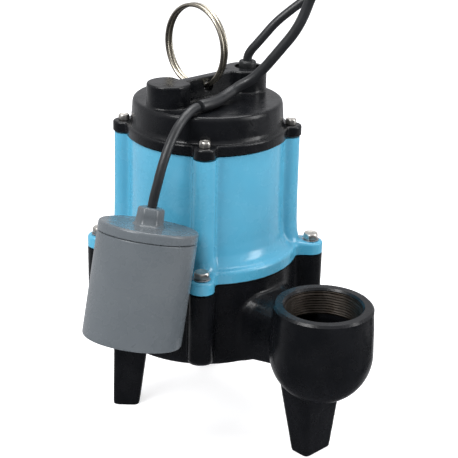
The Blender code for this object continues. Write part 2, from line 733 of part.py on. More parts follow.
def capacitor():
    body = [(0.0, -19.0), (8.0, -19.0), (8.6, -18.0), (8.6, 18.0), (8.0, 19.0), (0.0, 19.0)]
    lie = Matrix.Translation(across(0.0, 33.0, 254.0)) @ Matrix.Rotation(math.radians(45), 4, "Z")
    add_solid("capacitor", turned(body, 20), NYLON, matrix=lie @ Matrix.Rotation(math.radians(90), 4, "Y"))


# ---------------------------------------------------------------------------------------------
# Float switch
# ---------------------------------------------------------------------------------------------


def float_matrix():
    """Float space to pump space: Z runs up the float's axis from the middle of the cap's top face."""
    upward = (FLOAT_TOP - FLOAT_BOTTOM).normalized()
    side = Vector((1.0, 0.0, 0.0))
    side = (side - upward * side.dot(upward)).normalized()
    forward = upward.cross(side)
    turn = Matrix((side, forward, upward)).transposed().to_4x4()
    return Matrix.Translation(FLOAT_TOP) @ turn


def float_part(name, shape, finish, pivot=FLOAT_PIVOT):
    return add_solid(name, shape, finish, pivot=pivot, matrix=float_matrix())


def box_shape(low, high):
    rings = []
    for z in (low[2], high[2]):
        rings.append([(low[0], low[1], z), (high[0], low[1], z), (high[0], high[1], z), (low[0], high[1], z)])
    return loft(rings)


def tether():
    """The tether, with a ball end on the pivot so that it clears the float cord as it turns."""
    route = smooth_route(TETHER_ROUTE, 14.0)
    outward = (route[0] - FLOAT_PIVOT).normalized()
    radius = TETHER / 2
    ball = []
    sizes = []
    for degrees in (86, 60, 35, 0):
        angle = math.radians(degrees)
        ball.append(FLOAT_PIVOT - outward * radius * math.sin(angle))
        sizes.append(math.cos(angle))
    rod("float_tether", ball + route, TETHER, CORD_JACKET, FLOAT_PIVOT, sizes=sizes)


def float_switch():
    inner = FLOAT_RADIUS - 3.0
    cap = [
        (0.0, -4.0),
        (inner - 3.0, -4.0),
        (inner - 3.0, -CAP_RIM - 5.0),
        (inner - GAP, -CAP_RIM - 5.0),
        (inner - GAP, -CAP_RIM),
        (FLOAT_RADIUS, -CAP_RIM),
        (FLOAT_RADIUS, -1.6),
        (FLOAT_RADIUS - 1.6, 0.0),
        (0.0, 0.0),
    ]
    float_part("float_cap", turned(cap, 36), GREY_FLOAT)
    cup = [
        (0.0, -FLOAT_LENGTH),
        (FLOAT_RADIUS - 5.0, -FLOAT_LENGTH),
        (FLOAT_RADIUS - 1.5, -FLOAT_LENGTH + 1.5),
        (FLOAT_RADIUS, -FLOAT_LENGTH + 5.0),
        (FLOAT_RADIUS, -CAP_RIM - GAP),
        (inner, -CAP_RIM - GAP),
        (inner, -FLOAT_LENGTH + 3.0),
        (0.0, -FLOAT_LENGTH + 3.0),
    ]
    float_part("float_cup", turned(cup, 36), GREY_FLOAT)
    steps = 6
    neck = []
    for radius, height in ((11.4, GAP), (10.0, 2.2), (9.4, NECK_HEIGHT - 1.6), (7.4, NECK_HEIGHT)):
        neck.append(circle(radius, height, steps))
    float_part("float_neck", loft(neck), GREY_FLOAT)
    tether()

    tube_wall = ((0.0, -84.5), (12.6, -84.5), (12.6, -35.0), (10.4, -35.0), (10.4, -81.5), (0.0, -81.5))
    float_part("float_ball_tube", turned(tube_wall, 28), NYLON)
    float_part("float_switch_box", box_shape((-11.0, -5.5, -25.0), (11.0, 5.5, -11.0)), RUBBER)
    lever_at = float_matrix() @ Vector((-10.0, 0.0, -29.3))
    lever = box_shape((-11.0, -2.5, -29.7), (10.5, 2.5, -28.9))
    float_part("float_switch_lever", lever, STEEL, pivot=lever_at)
    ball = bmesh.new()
    bmesh.ops.create_uvsphere(ball, u_segments=16, v_segments=10, radius=BALL_RADIUS)
    bmesh.ops.translate(ball, vec=(0.0, 0.0, -BALL_REST), verts=ball.verts)
    float_part("float_ball", ball, STEEL, pivot=float_matrix() @ Vector((0.0, 0.0, -BALL_REST)))


# ---------------------------------------------------------------------------------------------
# Cords
# ---------------------------------------------------------------------------------------------


def cord_coil(name, coil, diameter):
    """The outer shape of a neat coil, three turns wide and three high."""
    x, y, radius = coil
    half = diameter * COIL_TURNS_ACROSS / 2
    height = diameter * COIL_TURNS_ACROSS
    cut = diameter * 0.45
    profile = [
        (radius - half + cut, 0.0),
        (radius + half - cut, 0.0),
        (radius + half, cut),
        (radius + half, height - cut),
        (radius + half - cut, height),
        (radius - half + cut, height),
        (radius - half, height - cut),
        (radius - half, cut),
    ]
    add_solid(name, turned(profile, 32, (x, y)), CORD_JACKET)
    return height


def coil_tail(name, coil, diameter, height, inset):
    """The end of the cord: along the top of the coil, then in across it to the plug."""
    x, y, radius = coil
    z = height + GAP + diameter / 2
    turn = radius - inset
    points = []
    for step in range(7):
        angle = math.radians(110 + 70 * step / 6)
        points.append((x + radius * math.cos(angle), y + radius * math.sin(angle), z))
    for step in range(1, 7):
        angle = math.radians(180 + 90 * step / 6)
        points.append((x - inset + turn * math.cos(angle), y + turn * math.sin(angle), z))
    end = Vector(points[-1]) + Vector((3.0, 0.0, 0.0))
    points.append(tuple(end))
    rod(name, points, diameter, CORD_JACKET)
    return end


def strap(name, coil, diameter, height):
    """A hook-and-loop strap that goes up one side of the coil, over it and down the other."""
    x, y, radius = coil
    half = diameter * COIL_TURNS_ACROSS / 2 + 1.0
    inner = [(radius - half, 0.3), (radius - half, height + GAP), (radius + half, height + GAP), (radius + half, 0.3)]
    outer_half = half + 1.3
    outer = [
        (radius + outer_half, 0.3),
        (radius + outer_half, height + GAP + 1.3),
        (radius - outer_half, height + GAP + 1.3),
        (radius - outer_half, 0.3),
    ]
    rings = []
    for side in (-5.0, 5.0):
        rings.append([(x + reach, y + side, z) for reach, z in inner + outer])
    add_solid(name, loft(rings), RUBBER)


def plug(prefix, start, diameter, half_width, half_height, back):
    """A moulded three-pin plug that points along +X, with its pins as separate pieces."""
    relief_end = start.x + GAP + 18.0
    body_end = relief_end + 32.0
    rings = []
    sections = (
        (start.x + GAP, diameter / 2 + 0.3, diameter / 2 + 0.3),
        (relief_end - 2.0, diameter / 2 + 2.2, diameter / 2 + 2.2),
        (relief_end, half_width - 3.0, half_height - 2.0),
        (relief_end + 3.0, half_width, half_height),
        (body_end - 1.0, half_width, half_height),
        (body_end, half_width - 1.0, half_height - 1.0),
    )
    for x, half_y, half_z in sections:
        outline = rounded_box((-half_y, -half_z), (half_y, half_z), min(half_y, half_z) * 0.5)
        centre_z = back - half_height + half_z
        rings.append([(x, start.y + py, centre_z + pz) for py, pz in outline])
    add_solid(f"{prefix}_plug", loft(rings), RUBBER)
    low = body_end + GAP
    for name, offset in (("line", -6.35), ("neutral", 6.35)):
        near = (low, start.y + offset - 0.75, back - 0.7)
        far = (low + 16.0, start.y + offset + 0.75, back + 5.7)
        add_solid(f"{prefix}_blade_{name}", box_shape(near, far), BRASS)
    pin = turned([(0.0, 0.0), (2.4, 0.0), (2.4, 16.5), (1.2, 18.5), (0.0, 18.5)], 16)
    place = Matrix.Translation((low, start.y, back - 6.5)) @ Matrix.Rotation(math.radians(90), 4, "Y")
    add_solid(f"{prefix}_ground_pin", pin, BRASS, matrix=place)


def cords():
    rod("power_cord_run", smooth_route(POWER_ROUTE, 20.0), POWER_CORD, CORD_JACKET)
    height = cord_coil("power_cord_coil", POWER_COIL, POWER_CORD)
    end = coil_tail("power_cord_tail", POWER_COIL, POWER_CORD, height, 12.0)
    strap("power_coil_tie", POWER_COIL, POWER_CORD, height)
    plug("power", end, POWER_CORD, 13.0, 11.0, height + GAP + 11.0)

    rod("float_cord_run", smooth_route(FLOAT_ROUTE, 22.0), FLOAT_CORD, CORD_JACKET)
    height = cord_coil("float_cord_coil", FLOAT_COIL, FLOAT_CORD)
    end = coil_tail("float_cord_tail", FLOAT_COIL, FLOAT_CORD, height, 13.0)
    strap("float_coil_tie", FLOAT_COIL, FLOAT_CORD, height)
    plug("float", end, FLOAT_CORD, 14.0, 13.0, height + GAP + 13.0)


def main():
    clear_scene()
    frame = bpy.data.objects.new("pump_frame", None)
    frame.location = (PUMP_X * MM, PUMP_Y * MM, 0.0)
    bpy.context.scene.collection.objects.link(frame)
    volute_casing()
    motor_housing()
    top_cover()
    gaskets()
    fasteners()
    gland()
    lifting_ring()
    stator()
    rotating_parts()
    bearings_and_seal()
    capacitor()
    float_switch()
    cords()


main()
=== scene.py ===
"""The looks of a submersible sump pump with a tethered float switch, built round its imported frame.

Lengths are millimetres in this script and metres in Blender. Shapes are drawn round the pump's own
axis, which is vertical with the feet at 0, and PUMP moves them to their place in the frame. Plan
directions: "across" runs along the lifting web, and "outlet" runs from the axis to the discharge.
"""

import json
import math

import bmesh
import bpy
from mathutils import Matrix, Vector


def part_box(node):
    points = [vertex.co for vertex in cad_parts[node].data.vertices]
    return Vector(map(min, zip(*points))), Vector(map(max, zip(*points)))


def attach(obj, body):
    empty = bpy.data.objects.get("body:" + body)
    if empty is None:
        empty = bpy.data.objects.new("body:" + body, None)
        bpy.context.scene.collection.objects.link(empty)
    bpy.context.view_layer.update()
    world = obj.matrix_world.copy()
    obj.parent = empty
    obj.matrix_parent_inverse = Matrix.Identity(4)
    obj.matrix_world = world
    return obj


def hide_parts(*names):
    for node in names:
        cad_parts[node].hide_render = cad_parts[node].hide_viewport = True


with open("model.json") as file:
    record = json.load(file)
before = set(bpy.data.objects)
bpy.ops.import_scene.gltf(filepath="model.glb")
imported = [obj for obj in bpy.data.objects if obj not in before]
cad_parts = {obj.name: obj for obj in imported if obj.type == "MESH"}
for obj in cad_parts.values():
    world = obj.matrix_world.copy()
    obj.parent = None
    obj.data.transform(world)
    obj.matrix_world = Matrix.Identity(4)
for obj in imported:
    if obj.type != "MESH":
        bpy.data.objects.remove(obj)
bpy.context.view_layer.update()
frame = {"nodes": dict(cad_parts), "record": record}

MM = 0.001
DIAGONAL = math.sqrt(0.5)
SIDES = ("right", "rear", "left", "front")


def centre_of(node):
    low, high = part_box(node)
    return (low + high) / 2


def top_of(node):
    """Height of a node's highest point, in millimetres."""
    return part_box(node)[1].z / MM


def bottom_of(node):
    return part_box(node)[0].z / MM


AXIS = centre_of("shaft")
PUMP = Matrix.Translation((AXIS.x, AXIS.y, 0.0)) @ Matrix.Scale(MM, 4)

# Heights of the stack, read from the frame.
VOLUTE_TOP = top_of("volute_casing")
HOUSING_BOTTOM = bottom_of("motor_housing")
HOUSING_TOP = top_of("motor_housing")
COVER_BOTTOM = bottom_of("top_cover")
RIB_TOP = top_of("top_cover")
LUG_TOP = bottom_of("flange_washer_front")

# Sizes that repeat the CAD or refine it.
LOWER_FLANGE_TOP = 152.5
COVER_FLANGE_TOP = 251.5
DECK = 272.0
WEB_HALF = 3.8
LEG_TOP = 84.0
FRONT_LEG_TOP = 90.0
FOOT = -0.6  # a little under the floor
HOUSING_BORE = 55.0
HOUSING_FLOOR = 157.0
SEAL_POCKET = 13.3
SHAFT_HOLE = 7.5
BEARING_POCKET = 15.1
BEARING_SEAT = 162.0
BEARING_BOSS_TOP = 172.0
OUTSIDE = 120.0  # wider than every casting, for cutters
LOWER_BOLT_RADIUS = 86.9
LOWER_LUG = 10.0
UPPER_BOLT_RADIUS = 66.5
UPPER_LUG = 8.5
OUTLET = Vector((93.1, -96.8))
OUTLET_RIM = 139.0
OUTLET_RIM_RADIUS = 38.6
BOWL_CENTRE = 99.5
BOWL_RADIUS = 40.2
THREAD_RADIUS = 28.2
THREAD_PITCH = 2.21
THREAD_TURNS = 9
THREAD_DEPTH = 1.25
GLAND_ACROSS = 43.6
RING_ACROSS = -3.0
RING_OUTLET = -11.5
RING_HEIGHT = 311.4
RING_RADIUS = 32.0
RING_HOLE_HEIGHT = 282.0
WIRE = 3.4
RING_PITCH = WIRE * 1.12
RING_WIRE_RADIUS = WIRE / 2 - 0.14
FLOAT_TOP = Vector((-39.2, -99.3, 200.6))
FLOAT_BOTTOM = Vector((-50.7, -119.2, 115.8))
FLOAT_RADIUS = 37.4
FLOAT_INSIDE = FLOAT_RADIUS - 3.0
FLOAT_LENGTH = 87.9
CAP_RIM = 7.5
NECK_TOP = 13.5

# Cords.
POWER_CORD = 7.2
FLOAT_CORD = 8.2
TETHER = 7.2
COIL_LAYERS = 3
POWER_COIL = (300.0, 58.0, 40.0)
FLOAT_COIL = (300.0, -55.0, 46.0)
COIL_STEP_PART = 0.2
POWER_TAIL_INSET = 12.0
FLOAT_TAIL_INSET = 13.0
POWER_PLUG_HALVES = (13.0, 11.0)
FLOAT_PLUG_HALVES = (14.0, 13.0)
PLUG_RELIEF = 18.0
PLUG_BODY = 32.0
SLEEVE_RADIUS = 4.62
SLEEVE_END_RADIUS = 4.12
POWER_ROUTE = (
    (30.8, 30.8, 290.0),
    (30.8, 30.8, 297.5),
    (33.0, 30.6, 302.6),
    (37.4, 30.3, 308.2),
    (43.9, 30.0, 316.2),
    (51.6, 30.0, 325.5),
    (62.0, 30.3, 335.0),
    (76.0, 31.0, 346.0),
    (93.0, 33.0, 358.0),
    (112.0, 37.0, 368.0),
    (133.0, 44.0, 374.0),
    (155.0, 54.0, 375.0),
    (176.0, 65.0, 370.0),
    (196.0, 76.0, 358.0),
    (213.0, 86.0, 340.0),
    (226.0, 94.0, 316.0),
    (236.0, 101.0, 286.0),
    (243.0, 106.0, 250.0),
    (248.0, 110.0, 205.0),
    (251.0, 112.0, 155.0),
    (252.5, 113.0, 105.0),
    (252.8, 113.3, 65.0),
    (252.8, 112.8, 33.0),
    (252.8, 109.0, 18.0),
    (252.8, 99.5, 7.6),
    (252.8, 86.6, 3.9),
)
FLOAT_ROUTE = (
    (-3.0, -44.0, 277.1),
    (0.0, -40.9, 277.1),
    (4.2, -35.4, 277.0),
    (11.0, -22.5, 277.2),
    (18.2, -11.0, 279.4),
    (25.6, -7.5, 284.0),
    (33.0, -7.0, 288.2),
    (42.4, -9.0, 297.6),
    (50.0, -11.0, 307.4),
    (57.1, -12.5, 316.9),
    (64.0, -13.5, 326.3),
    (69.2, -14.0, 335.4),
    (73.0, -14.0, 344.4),
    (77.0, -14.0, 356.0),
    (83.0, -14.0, 368.0),
    (93.0, -14.0, 380.0),
    (108.0, -13.7, 389.0),
    (127.0, -13.0, 393.0),
    (147.0, -11.5, 391.5),
    (167.0, -9.5, 384.0),
    (185.0, -7.0, 371.0),
    (201.0, -4.5, 353.0),
    (214.0, -2.0, 329.0),
    (225.0, 0.5, 299.0),
    (233.0, 3.0, 263.0),
    (239.0, 5.3, 220.0),
    (243.0, 7.0, 170.0),
    (245.2, 8.2, 120.0),
    (245.8, 8.6, 75.0),
    (245.8, 8.0, 38.0),
    (245.8, 3.8, 21.0),
    (245.8, -7.5, 8.4),
    (245.8, -22.0, 4.4),
)
TETHER_ROUTE = (
    (-6.9, -48.6, 277.1),
    (-10.0, -54.0, 276.6),
    (-14.6, -62.0, 273.9),
    (-19.6, -71.5, 268.4),
    (-23.6, -79.0, 261.5),
    (-27.6, -86.0, 252.0),
    (-30.8, -90.4, 241.5),
    (-33.4, -93.2, 230.9),
    (-35.7, -95.0, 221.5),
    (-37.1, -96.0, 214.4),
)


def across(distance, outlet, height):
    """A point from its distance along the web, its distance towards the discharge and its height."""
    return Vector(((distance + outlet) * DIAGONAL, (distance - outlet) * DIAGONAL, height))


# ---- Camera, light and floor --------------------

CAMERA_PLACE = Vector((22.7, -940.9, 532.7))
CAMERA_DOWN = 21.6
CAMERA_ROLL = 1.6
CAMERA_LENS = 96.46
CAMERA_SHIFT = -0.0085
FLOOR_SIZE = 12.0
FLOOR_GLOW = 0.68
SURROUND_GLOW = 0.60
SURROUND_LIGHT_SIDE = (0.0, 0.55, 1.0)


def camera():
    """A long lens in front of the pump, looking down at it, with a slight roll."""
    tilt = math.radians(CAMERA_DOWN)
    roll = math.radians(CAMERA_ROLL)
    right = Vector((1.0, 0.0, 0.0))
    up = Vector((0.0, math.sin(tilt), math.cos(tilt)))
    back = Vector((0.0, -math.cos(tilt), math.sin(tilt)))
    rolled_right = right * math.cos(roll) + up * math.sin(roll)
    rolled_up = up * math.cos(roll) - right * math.sin(roll)
    lens = bpy.data.cameras.new("camera")
    lens.lens = CAMERA_LENS
    lens.shift_x = CAMERA_SHIFT
    viewer = bpy.data.objects.new("camera", lens)
    turn = Matrix((rolled_right, rolled_up, back)).transposed().to_4x4()
    viewer.matrix_world = Matrix.Translation(PUMP @ CAMERA_PLACE) @ turn
    bpy.context.scene.collection.objects.link(viewer)
    bpy.context.scene.camera = viewer


def softbox(name, place, aim, width, height, power):
    """A rectangular lamp at a place, turned to face its aim, all in metres."""
    light = bpy.data.lights.new(name, "AREA")
    light.shape = "RECTANGLE"
    light.size = width
    light.size_y = height
    light.energy = power
    lamp = bpy.data.objects.new(name, light)
    lamp.location = place
    lamp.rotation_euler = (Vector(aim) - Vector(place)).to_track_quat("-Z", "Y").to_euler()
    bpy.context.scene.collection.objects.link(lamp)


def studio():
    """A pale floor, a pale surround and three softboxes."""
    lay_floor()
    light_surround()
    bpy.context.scene.view_settings.view_transform = "Standard"
    softbox("key_light", (-0.9, -0.9, 1.5), (0.0, 0.0, 0.2), 0.9, 0.9, 26.0)
    softbox("top_light", (0.1, 0.5, 1.6), (0.0, 0.0, 0.2), 1.2, 0.9, 16.0)
    softbox("side_light", (1.3, -0.3, 0.7), (0.0, 0.0, 0.18), 0.5, 1.0, 9.0)


def lay_floor():
    """A plain white floor that does not show in glossy surfaces."""
    bpy.ops.mesh.primitive_plane_add(size=FLOOR_SIZE, location=(0.0, 0.0, 0.0))
    floor = bpy.context.object
    floor.name = "floor"
    finish = bpy.data.materials.new("floor_white")
    finish.use_nodes = True
    shader = finish.node_tree.nodes["Principled BSDF"]
    shader.inputs["Base Color"].default_value = (0.70, 0.70, 0.71, 1.0)
    shader.inputs["Roughness"].default_value = 0.9
    shader.inputs["Specular IOR Level"].default_value = 0.0
    shader.inputs["Emission Color"].default_value = (1.0, 1.0, 1.0, 1.0)
    shader.inputs["Emission Strength"].default_value = FLOOR_GLOW
    floor.data.materials.append(finish)
    floor.visible_glossy = False


def light_surround():
    """A pale surround that is darker low down in front of the pump."""
    world = bpy.data.worlds.new("surround")
    world.use_nodes = True
    nodes = world.node_tree.nodes
    links = world.node_tree.links
    place = nodes.new("ShaderNodeTexCoord")
    facing = nodes.new("ShaderNodeVectorMath")
    facing.operation = "DOT_PRODUCT"
    facing.inputs[1].default_value = SURROUND_LIGHT_SIDE
    lifted = nodes.new("ShaderNodeMath")
    lifted.operation = "ADD"
    lifted.inputs[1].default_value = 0.50
    ramp = nodes.new("ShaderNodeValToRGB")
    links.new(place.outputs["Generated"], facing.inputs[0])
    links.new(facing.outputs["Value"], lifted.inputs[0])
    links.new(lifted.outputs[0], ramp.inputs[0])
    links.new(ramp.outputs[0], nodes["Background"].inputs["Color"])
    ramp.color_ramp.elements[0].position = 0.0
    ramp.color_ramp.elements[0].color = (0.10, 0.10, 0.11, 1.0)
    ramp.color_ramp.elements[1].position = 0.5
    ramp.color_ramp.elements[1].color = (0.97, 0.97, 1.0, 1.0)
    nodes["Background"].inputs["Strength"].default_value = SURROUND_GLOW
    bpy.context.scene.world = world


# ---- Materials --------------------


class Finish:
    """A material built from the shared coordinates of the object, in metres."""

    def __init__(self, name, colour, roughness, metallic=0.0):
        self.material = bpy.data.materials.new(name)
        self.material.use_nodes = True
        self.tree = self.material.node_tree
        self.shader = self.tree.nodes["Principled BSDF"]
        self.shader.inputs["Base Color"].default_value = (*colour, 1.0)
        self.shader.inputs["Roughness"].default_value = roughness
        self.shader.inputs["Metallic"].default_value = metallic
        self.place = self.tree.nodes.new("ShaderNodeTexCoord").outputs["Object"]
        self.height = None

    def set(self, name, value):
        self.shader.inputs[name].default_value = value

    def noise(self, grain, detail=3.0, stretch=(1.0, 1.0, 1.0)):
        """Noise whose largest lumps are about grain millimetres across."""
        texture = self.tree.nodes.new("ShaderNodeTexNoise")
        texture.inputs["Scale"].default_value = 1.0 / (grain * MM)
        texture.inputs["Detail"].default_value = detail
        mapping = self.tree.nodes.new("ShaderNodeMapping")
        mapping.inputs["Scale"].default_value = stretch
        self.tree.links.new(self.place, mapping.inputs["Vector"])
        self.tree.links.new(mapping.outputs[0], texture.inputs["Vector"])
        return texture.outputs["Fac"]

    def colour_from(self, source, stops):
        """The base colour from (position, colour) stops along a value from 0 to 1."""
        ramp = self.tree.nodes.new("ShaderNodeValToRGB")
        self.tree.links.new(source, ramp.inputs[0])
        elements = ramp.color_ramp.elements
        while len(elements) < len(stops):
            elements.new(0.5)
        for element, (position, colour) in zip(elements, stops):
            element.position = position
            element.color = (*colour, 1.0)
        self.tree.links.new(ramp.outputs[0], self.shader.inputs["Base Color"])

    def roughness_from(self, source, low, high):
        """The roughness between two limits, spread over the middle range of a noise."""
        span = self.tree.nodes.new("ShaderNodeMapRange")
        span.inputs["From Min"].default_value = 0.3
        span.inputs["From Max"].default_value = 0.7
        span.inputs["To Min"].default_value = low
        span.inputs["To Max"].default_value = high
        self.tree.links.new(source, span.inputs["Value"])
        self.tree.links.new(span.outputs[0], self.shader.inputs["Roughness"])

    def bump(self, source, depth):
        """Adds a bump whose full height is depth millimetres, on top of the earlier ones."""
        bump = self.tree.nodes.new("ShaderNodeBump")
        bump.inputs["Distance"].default_value = depth * MM
        self.tree.links.new(source, bump.inputs["Height"])
        if self.height:
            self.tree.links.new(self.height, bump.inputs["Normal"])
        self.height = bump.outputs[0]
        self.tree.links.new(self.height, self.shader.inputs["Normal"])


def black_enamel():
    """Gloss black enamel over sand-cast iron: soft lumps, orange peel and a little dust."""
    finish = Finish("black_enamel", (0.010, 0.011, 0.013), 0.3)
    cloud = finish.noise(30.0, 4.0)
    finish.colour_from(cloud, ((0.35, (0.0035, 0.004, 0.005)), (0.7, (0.007, 0.0075, 0.009))))
    finish.roughness_from(finish.noise(9.0), 0.17, 0.32)
    finish.bump(finish.noise(14.0, 2.0), 0.32)
    finish.bump(finish.noise(2.4, 4.0), 0.11)
    finish.bump(finish.noise(0.9, 3.0), 0.025)
    finish.set("Specular IOR Level", 0.32)
    return finish.material


def blue_enamel():
    finish = Finish("blue_enamel", (0.085, 0.40, 0.60), 0.3)
    cloud = finish.noise(40.0, 3.0)
    finish.colour_from(cloud, ((0.3, (0.068, 0.335, 0.505)), (0.7, (0.086, 0.370, 0.545))))
    finish.roughness_from(finish.noise(12.0), 0.20, 0.32)
    finish.bump(finish.noise(18.0, 2.0), 0.22)
    finish.bump(finish.noise(2.5, 3.0), 0.03)
    finish.set("Coat Weight", 0.35)
    finish.set("Coat Roughness", 0.12)
    return finish.material


def bright_metal(name, colour, roughness, grain=3.0, depth=0.01):
    """Plated or turned metal with faint handling marks."""
    finish = Finish(name, colour, roughness, 1.0)
    cloud = finish.noise(grain * 2.0, 4.0)
    darker = tuple(channel * 0.8 for channel in colour)
    finish.colour_from(cloud, ((0.3, darker), (0.7, colour)))
    finish.roughness_from(finish.noise(grain), roughness * 0.7, roughness * 1.4)
    finish.bump(finish.noise(grain, 5.0), depth)
    return finish.material


def cut_iron():
    """Freshly cut cast iron in the discharge thread, with a trace of rust."""
    finish = Finish("cut_iron", (0.20, 0.17, 0.14), 0.42, 0.85)
    cloud = finish.noise(6.0, 5.0)
    finish.colour_from(cloud, ((0.35, (0.020, 0.015, 0.011)), (0.65, (0.037, 0.031, 0.026))))
    finish.roughness_from(finish.noise(3.0), 0.35, 0.55)
    finish.bump(finish.noise(1.2, 3.0), 0.03)
    return finish.material


def grey_plastic():
    """Moulded float plastic: satin, with very fine grain and slight flow clouds."""
    finish = Finish("float_plastic", (0.145, 0.160, 0.175), 0.38)
    cloud = finish.noise(45.0, 3.0)
    finish.colour_from(cloud, ((0.3, (0.092, 0.106, 0.117)), (0.7, (0.110, 0.124, 0.135))))
    finish.roughness_from(finish.noise(10.0), 0.22, 0.33)
    finish.bump(finish.noise(25.0, 1.0), 0.15)
    finish.bump(finish.noise(0.9, 2.0), 0.008)
    return finish.material


def rubber(name, colour, roughness, depth):
    """Black rubber with a fine grain and a trace of bloom."""
    finish = Finish(name, colour, roughness)
    lighter = tuple(channel * 1.6 for channel in colour)
    finish.colour_from(finish.noise(12.0, 5.0), ((0.35, colour), (0.75, lighter)))
    finish.roughness_from(finish.noise(4.0), roughness * 0.85, roughness * 1.15)
    finish.bump(finish.noise(0.8, 3.0), depth)
    return finish.material


def laminated():
    """Edges of thin steel sheets, stacked up the axis."""
    finish = Finish("laminated_steel", (0.30, 0.31, 0.33), 0.45, 1.0)
    stripes = finish.tree.nodes.new("ShaderNodeTexWave")
    stripes.bands_direction = "Z"
    stripes.inputs["Scale"].default_value = 1.0 / (0.5 * MM) / 6.28
    stripes.inputs["Distortion"].default_value = 0.3
    finish.tree.links.new(finish.place, stripes.inputs["Vector"])
    finish.colour_from(stripes.outputs["Fac"], ((0.2, (0.16, 0.16, 0.17)), (0.6, (0.36, 0.36, 0.38))))
    finish.bump(stripes.outputs["Fac"], 0.08)
    return finish.material


def wound_copper():
    """Varnished wire in fine strands round the motor's axis."""
    finish = Finish("wound_copper", (0.60, 0.24, 0.08), 0.35, 0.7)
    strands = finish.noise(0.9, 2.0, (1.0, 1.0, 0.15))
    finish.colour_from(strands, ((0.35, (0.30, 0.10, 0.03)), (0.65, (0.72, 0.32, 0.12))))
    finish.bump(strands, 0.25)
    finish.set("Coat Weight", 0.5)
    return finish.material


def plain_grained(name, colour, roughness, grain, depth, metallic=0.0):
    finish = Finish(name, colour, roughness, metallic)
    darker = tuple(channel * 0.86 for channel in colour)
    finish.colour_from(finish.noise(grain * 4.0, 4.0), ((0.3, darker), (0.7, colour)))
    finish.roughness_from(finish.noise(grain * 2.0), roughness * 0.85, min(1.0, roughness * 1.2))
    finish.bump(finish.noise(grain, 3.0), depth)
    return finish.material


def finishes():
    return {
        "black_casting": black_enamel(),
        "blue_casting": blue_enamel(),
        "stainless": bright_metal("bolt_steel", (0.70, 0.675, 0.63), 0.36),
        "bright_wire": bright_metal("ring_nickel", (0.42, 0.39, 0.325), 0.27, 6.0, 0.003),
        "black_rubber": rubber("moulded_rubber", (0.009, 0.010, 0.011), 0.45, 0.03),
        "cord_jacket": rubber("cord_rubber", (0.010, 0.011, 0.0125), 0.40, 0.02),
        "grey_float": grey_plastic(),
        "gasket": plain_grained("gasket_sheet", (0.02, 0.02, 0.02), 0.8, 1.0, 0.05),
        "steel": bright_metal("ground_steel", (0.46, 0.47, 0.49), 0.3),
        "lamination": laminated(),
        "winding_copper": wound_copper(),
        "ceramic": plain_grained("seal_ceramic", (0.84, 0.83, 0.79), 0.25, 1.0, 0.005),
        "brass": bright_metal("blade_brass", (0.74, 0.56, 0.26), 0.24),
        "nylon": plain_grained("natural_nylon", (0.74, 0.72, 0.64), 0.45, 1.5, 0.02),
        "raw_casting": plain_grained("cast_iron_raw", (0.13, 0.13, 0.135), 0.55, 1.6, 0.2, 0.7),
        "cut_iron": cut_iron(),
    }


# ---- Shapes --------------------


def join_faces(shape, low, high):
    """Faces between two rings of vertices, where a ring of one vertex is a pole."""
    if len(low) == 1 and len(high) == 1:
        return
    if len(low) == 1 or len(high) == 1:
        pole, ring = (low, high) if len(low) == 1 else (high, low)
        for first, second in zip(ring, ring[1:] + ring[:1]):
            shape.faces.new((pole[0], first, second))
        return
    count = len(low)
    for index in range(count):
        after = (index + 1) % count
        shape.faces.new((low[index], low[after], high[after], high[index]))


def loft(rings, loop=False):
    """A solid through rings of points, looped from the last to the first or capped at both ends."""
    shape = bmesh.new()
    built = [[shape.verts.new(point) for point in ring] for ring in rings]
    for low, high in zip(built, built[1:]):
        join_faces(shape, low, high)
    if loop:
        join_faces(shape, built[-1], built[0])
    else:
        for ring in (built[0], built[-1]):
            if len(ring) > 2:
                shape.faces.new(ring)
    bmesh.ops.recalc_face_normals(shape, faces=shape.faces)
    return shape


def circle(radius, height, steps, centre=(0.0, 0.0)):
    if radius == 0:
        return [(centre[0], centre[1], height)]
    angles = [math.tau * index / steps for index in range(steps)]
    return [(centre[0] + radius * math.cos(a), centre[1] + radius * math.sin(a), height) for a in angles]


def turned(profile, steps=96, centre=(0.0, 0.0)):
    """A solid turned from (radius, height) points: a closed loop, or a line that ends on the axis."""
    rings = [circle(radius, height, steps, centre) for radius, height in profile]
    return loft(rings, loop=profile[0][0] > 0)


def rounded(profile, radius, steps=4):
    """The profile with each inner corner replaced by an arc, as far as its sides allow."""
    result = [profile[0]]
    for before, corner, after in zip(profile, profile[1:], profile[2:]):
        here = Vector(corner)
        back = Vector(before) - here
        ahead = Vector(after) - here
        reach = min(radius, back.length * 0.45, ahead.length * 0.45)
        start = here + back.normalized() * reach
        end = here + ahead.normalized() * reach
        for step in range(steps + 1):
            t = step / steps
            point = start * (1 - t) ** 2 + here * 2 * t * (1 - t) + end * t * t
            result.append((point.x, point.y))
    result.append(profile[-1])
    return result


def arc(centre, radius, start, end, steps):
    """(radius, height) points on an arc, with angles in degrees from the radius direction."""
    angles = [math.radians(start + (end - start) * index / steps) for index in range(steps + 1)]
    return [(centre[0] + radius * math.cos(a), centre[1] + radius * math.sin(a)) for a in angles]


def soft_max(first, second, blend):
    """The larger of two lengths, with a fillet where they cross."""
    return (first + second + math.sqrt((first - second) ** 2 + blend * blend)) / 2


def lug_reach(offset, disc, lug_at, lug, fillet):
    """Radius of an outline with a round-ended lug, at an angle off the lug's middle."""
    sine = math.sin(math.radians(abs(offset)))
    cosine = math.cos(math.radians(offset))
    side = lug / max(sine, 1e-6)
    under_root = lug * lug - (lug_at * sine) ** 2
    tip = lug_at * cosine + math.sqrt(under_root) if under_root > 0 else lug_at
    reach = min(tip, side) if lug_at * sine < lug else side
    return soft_max(reach, disc, fillet)


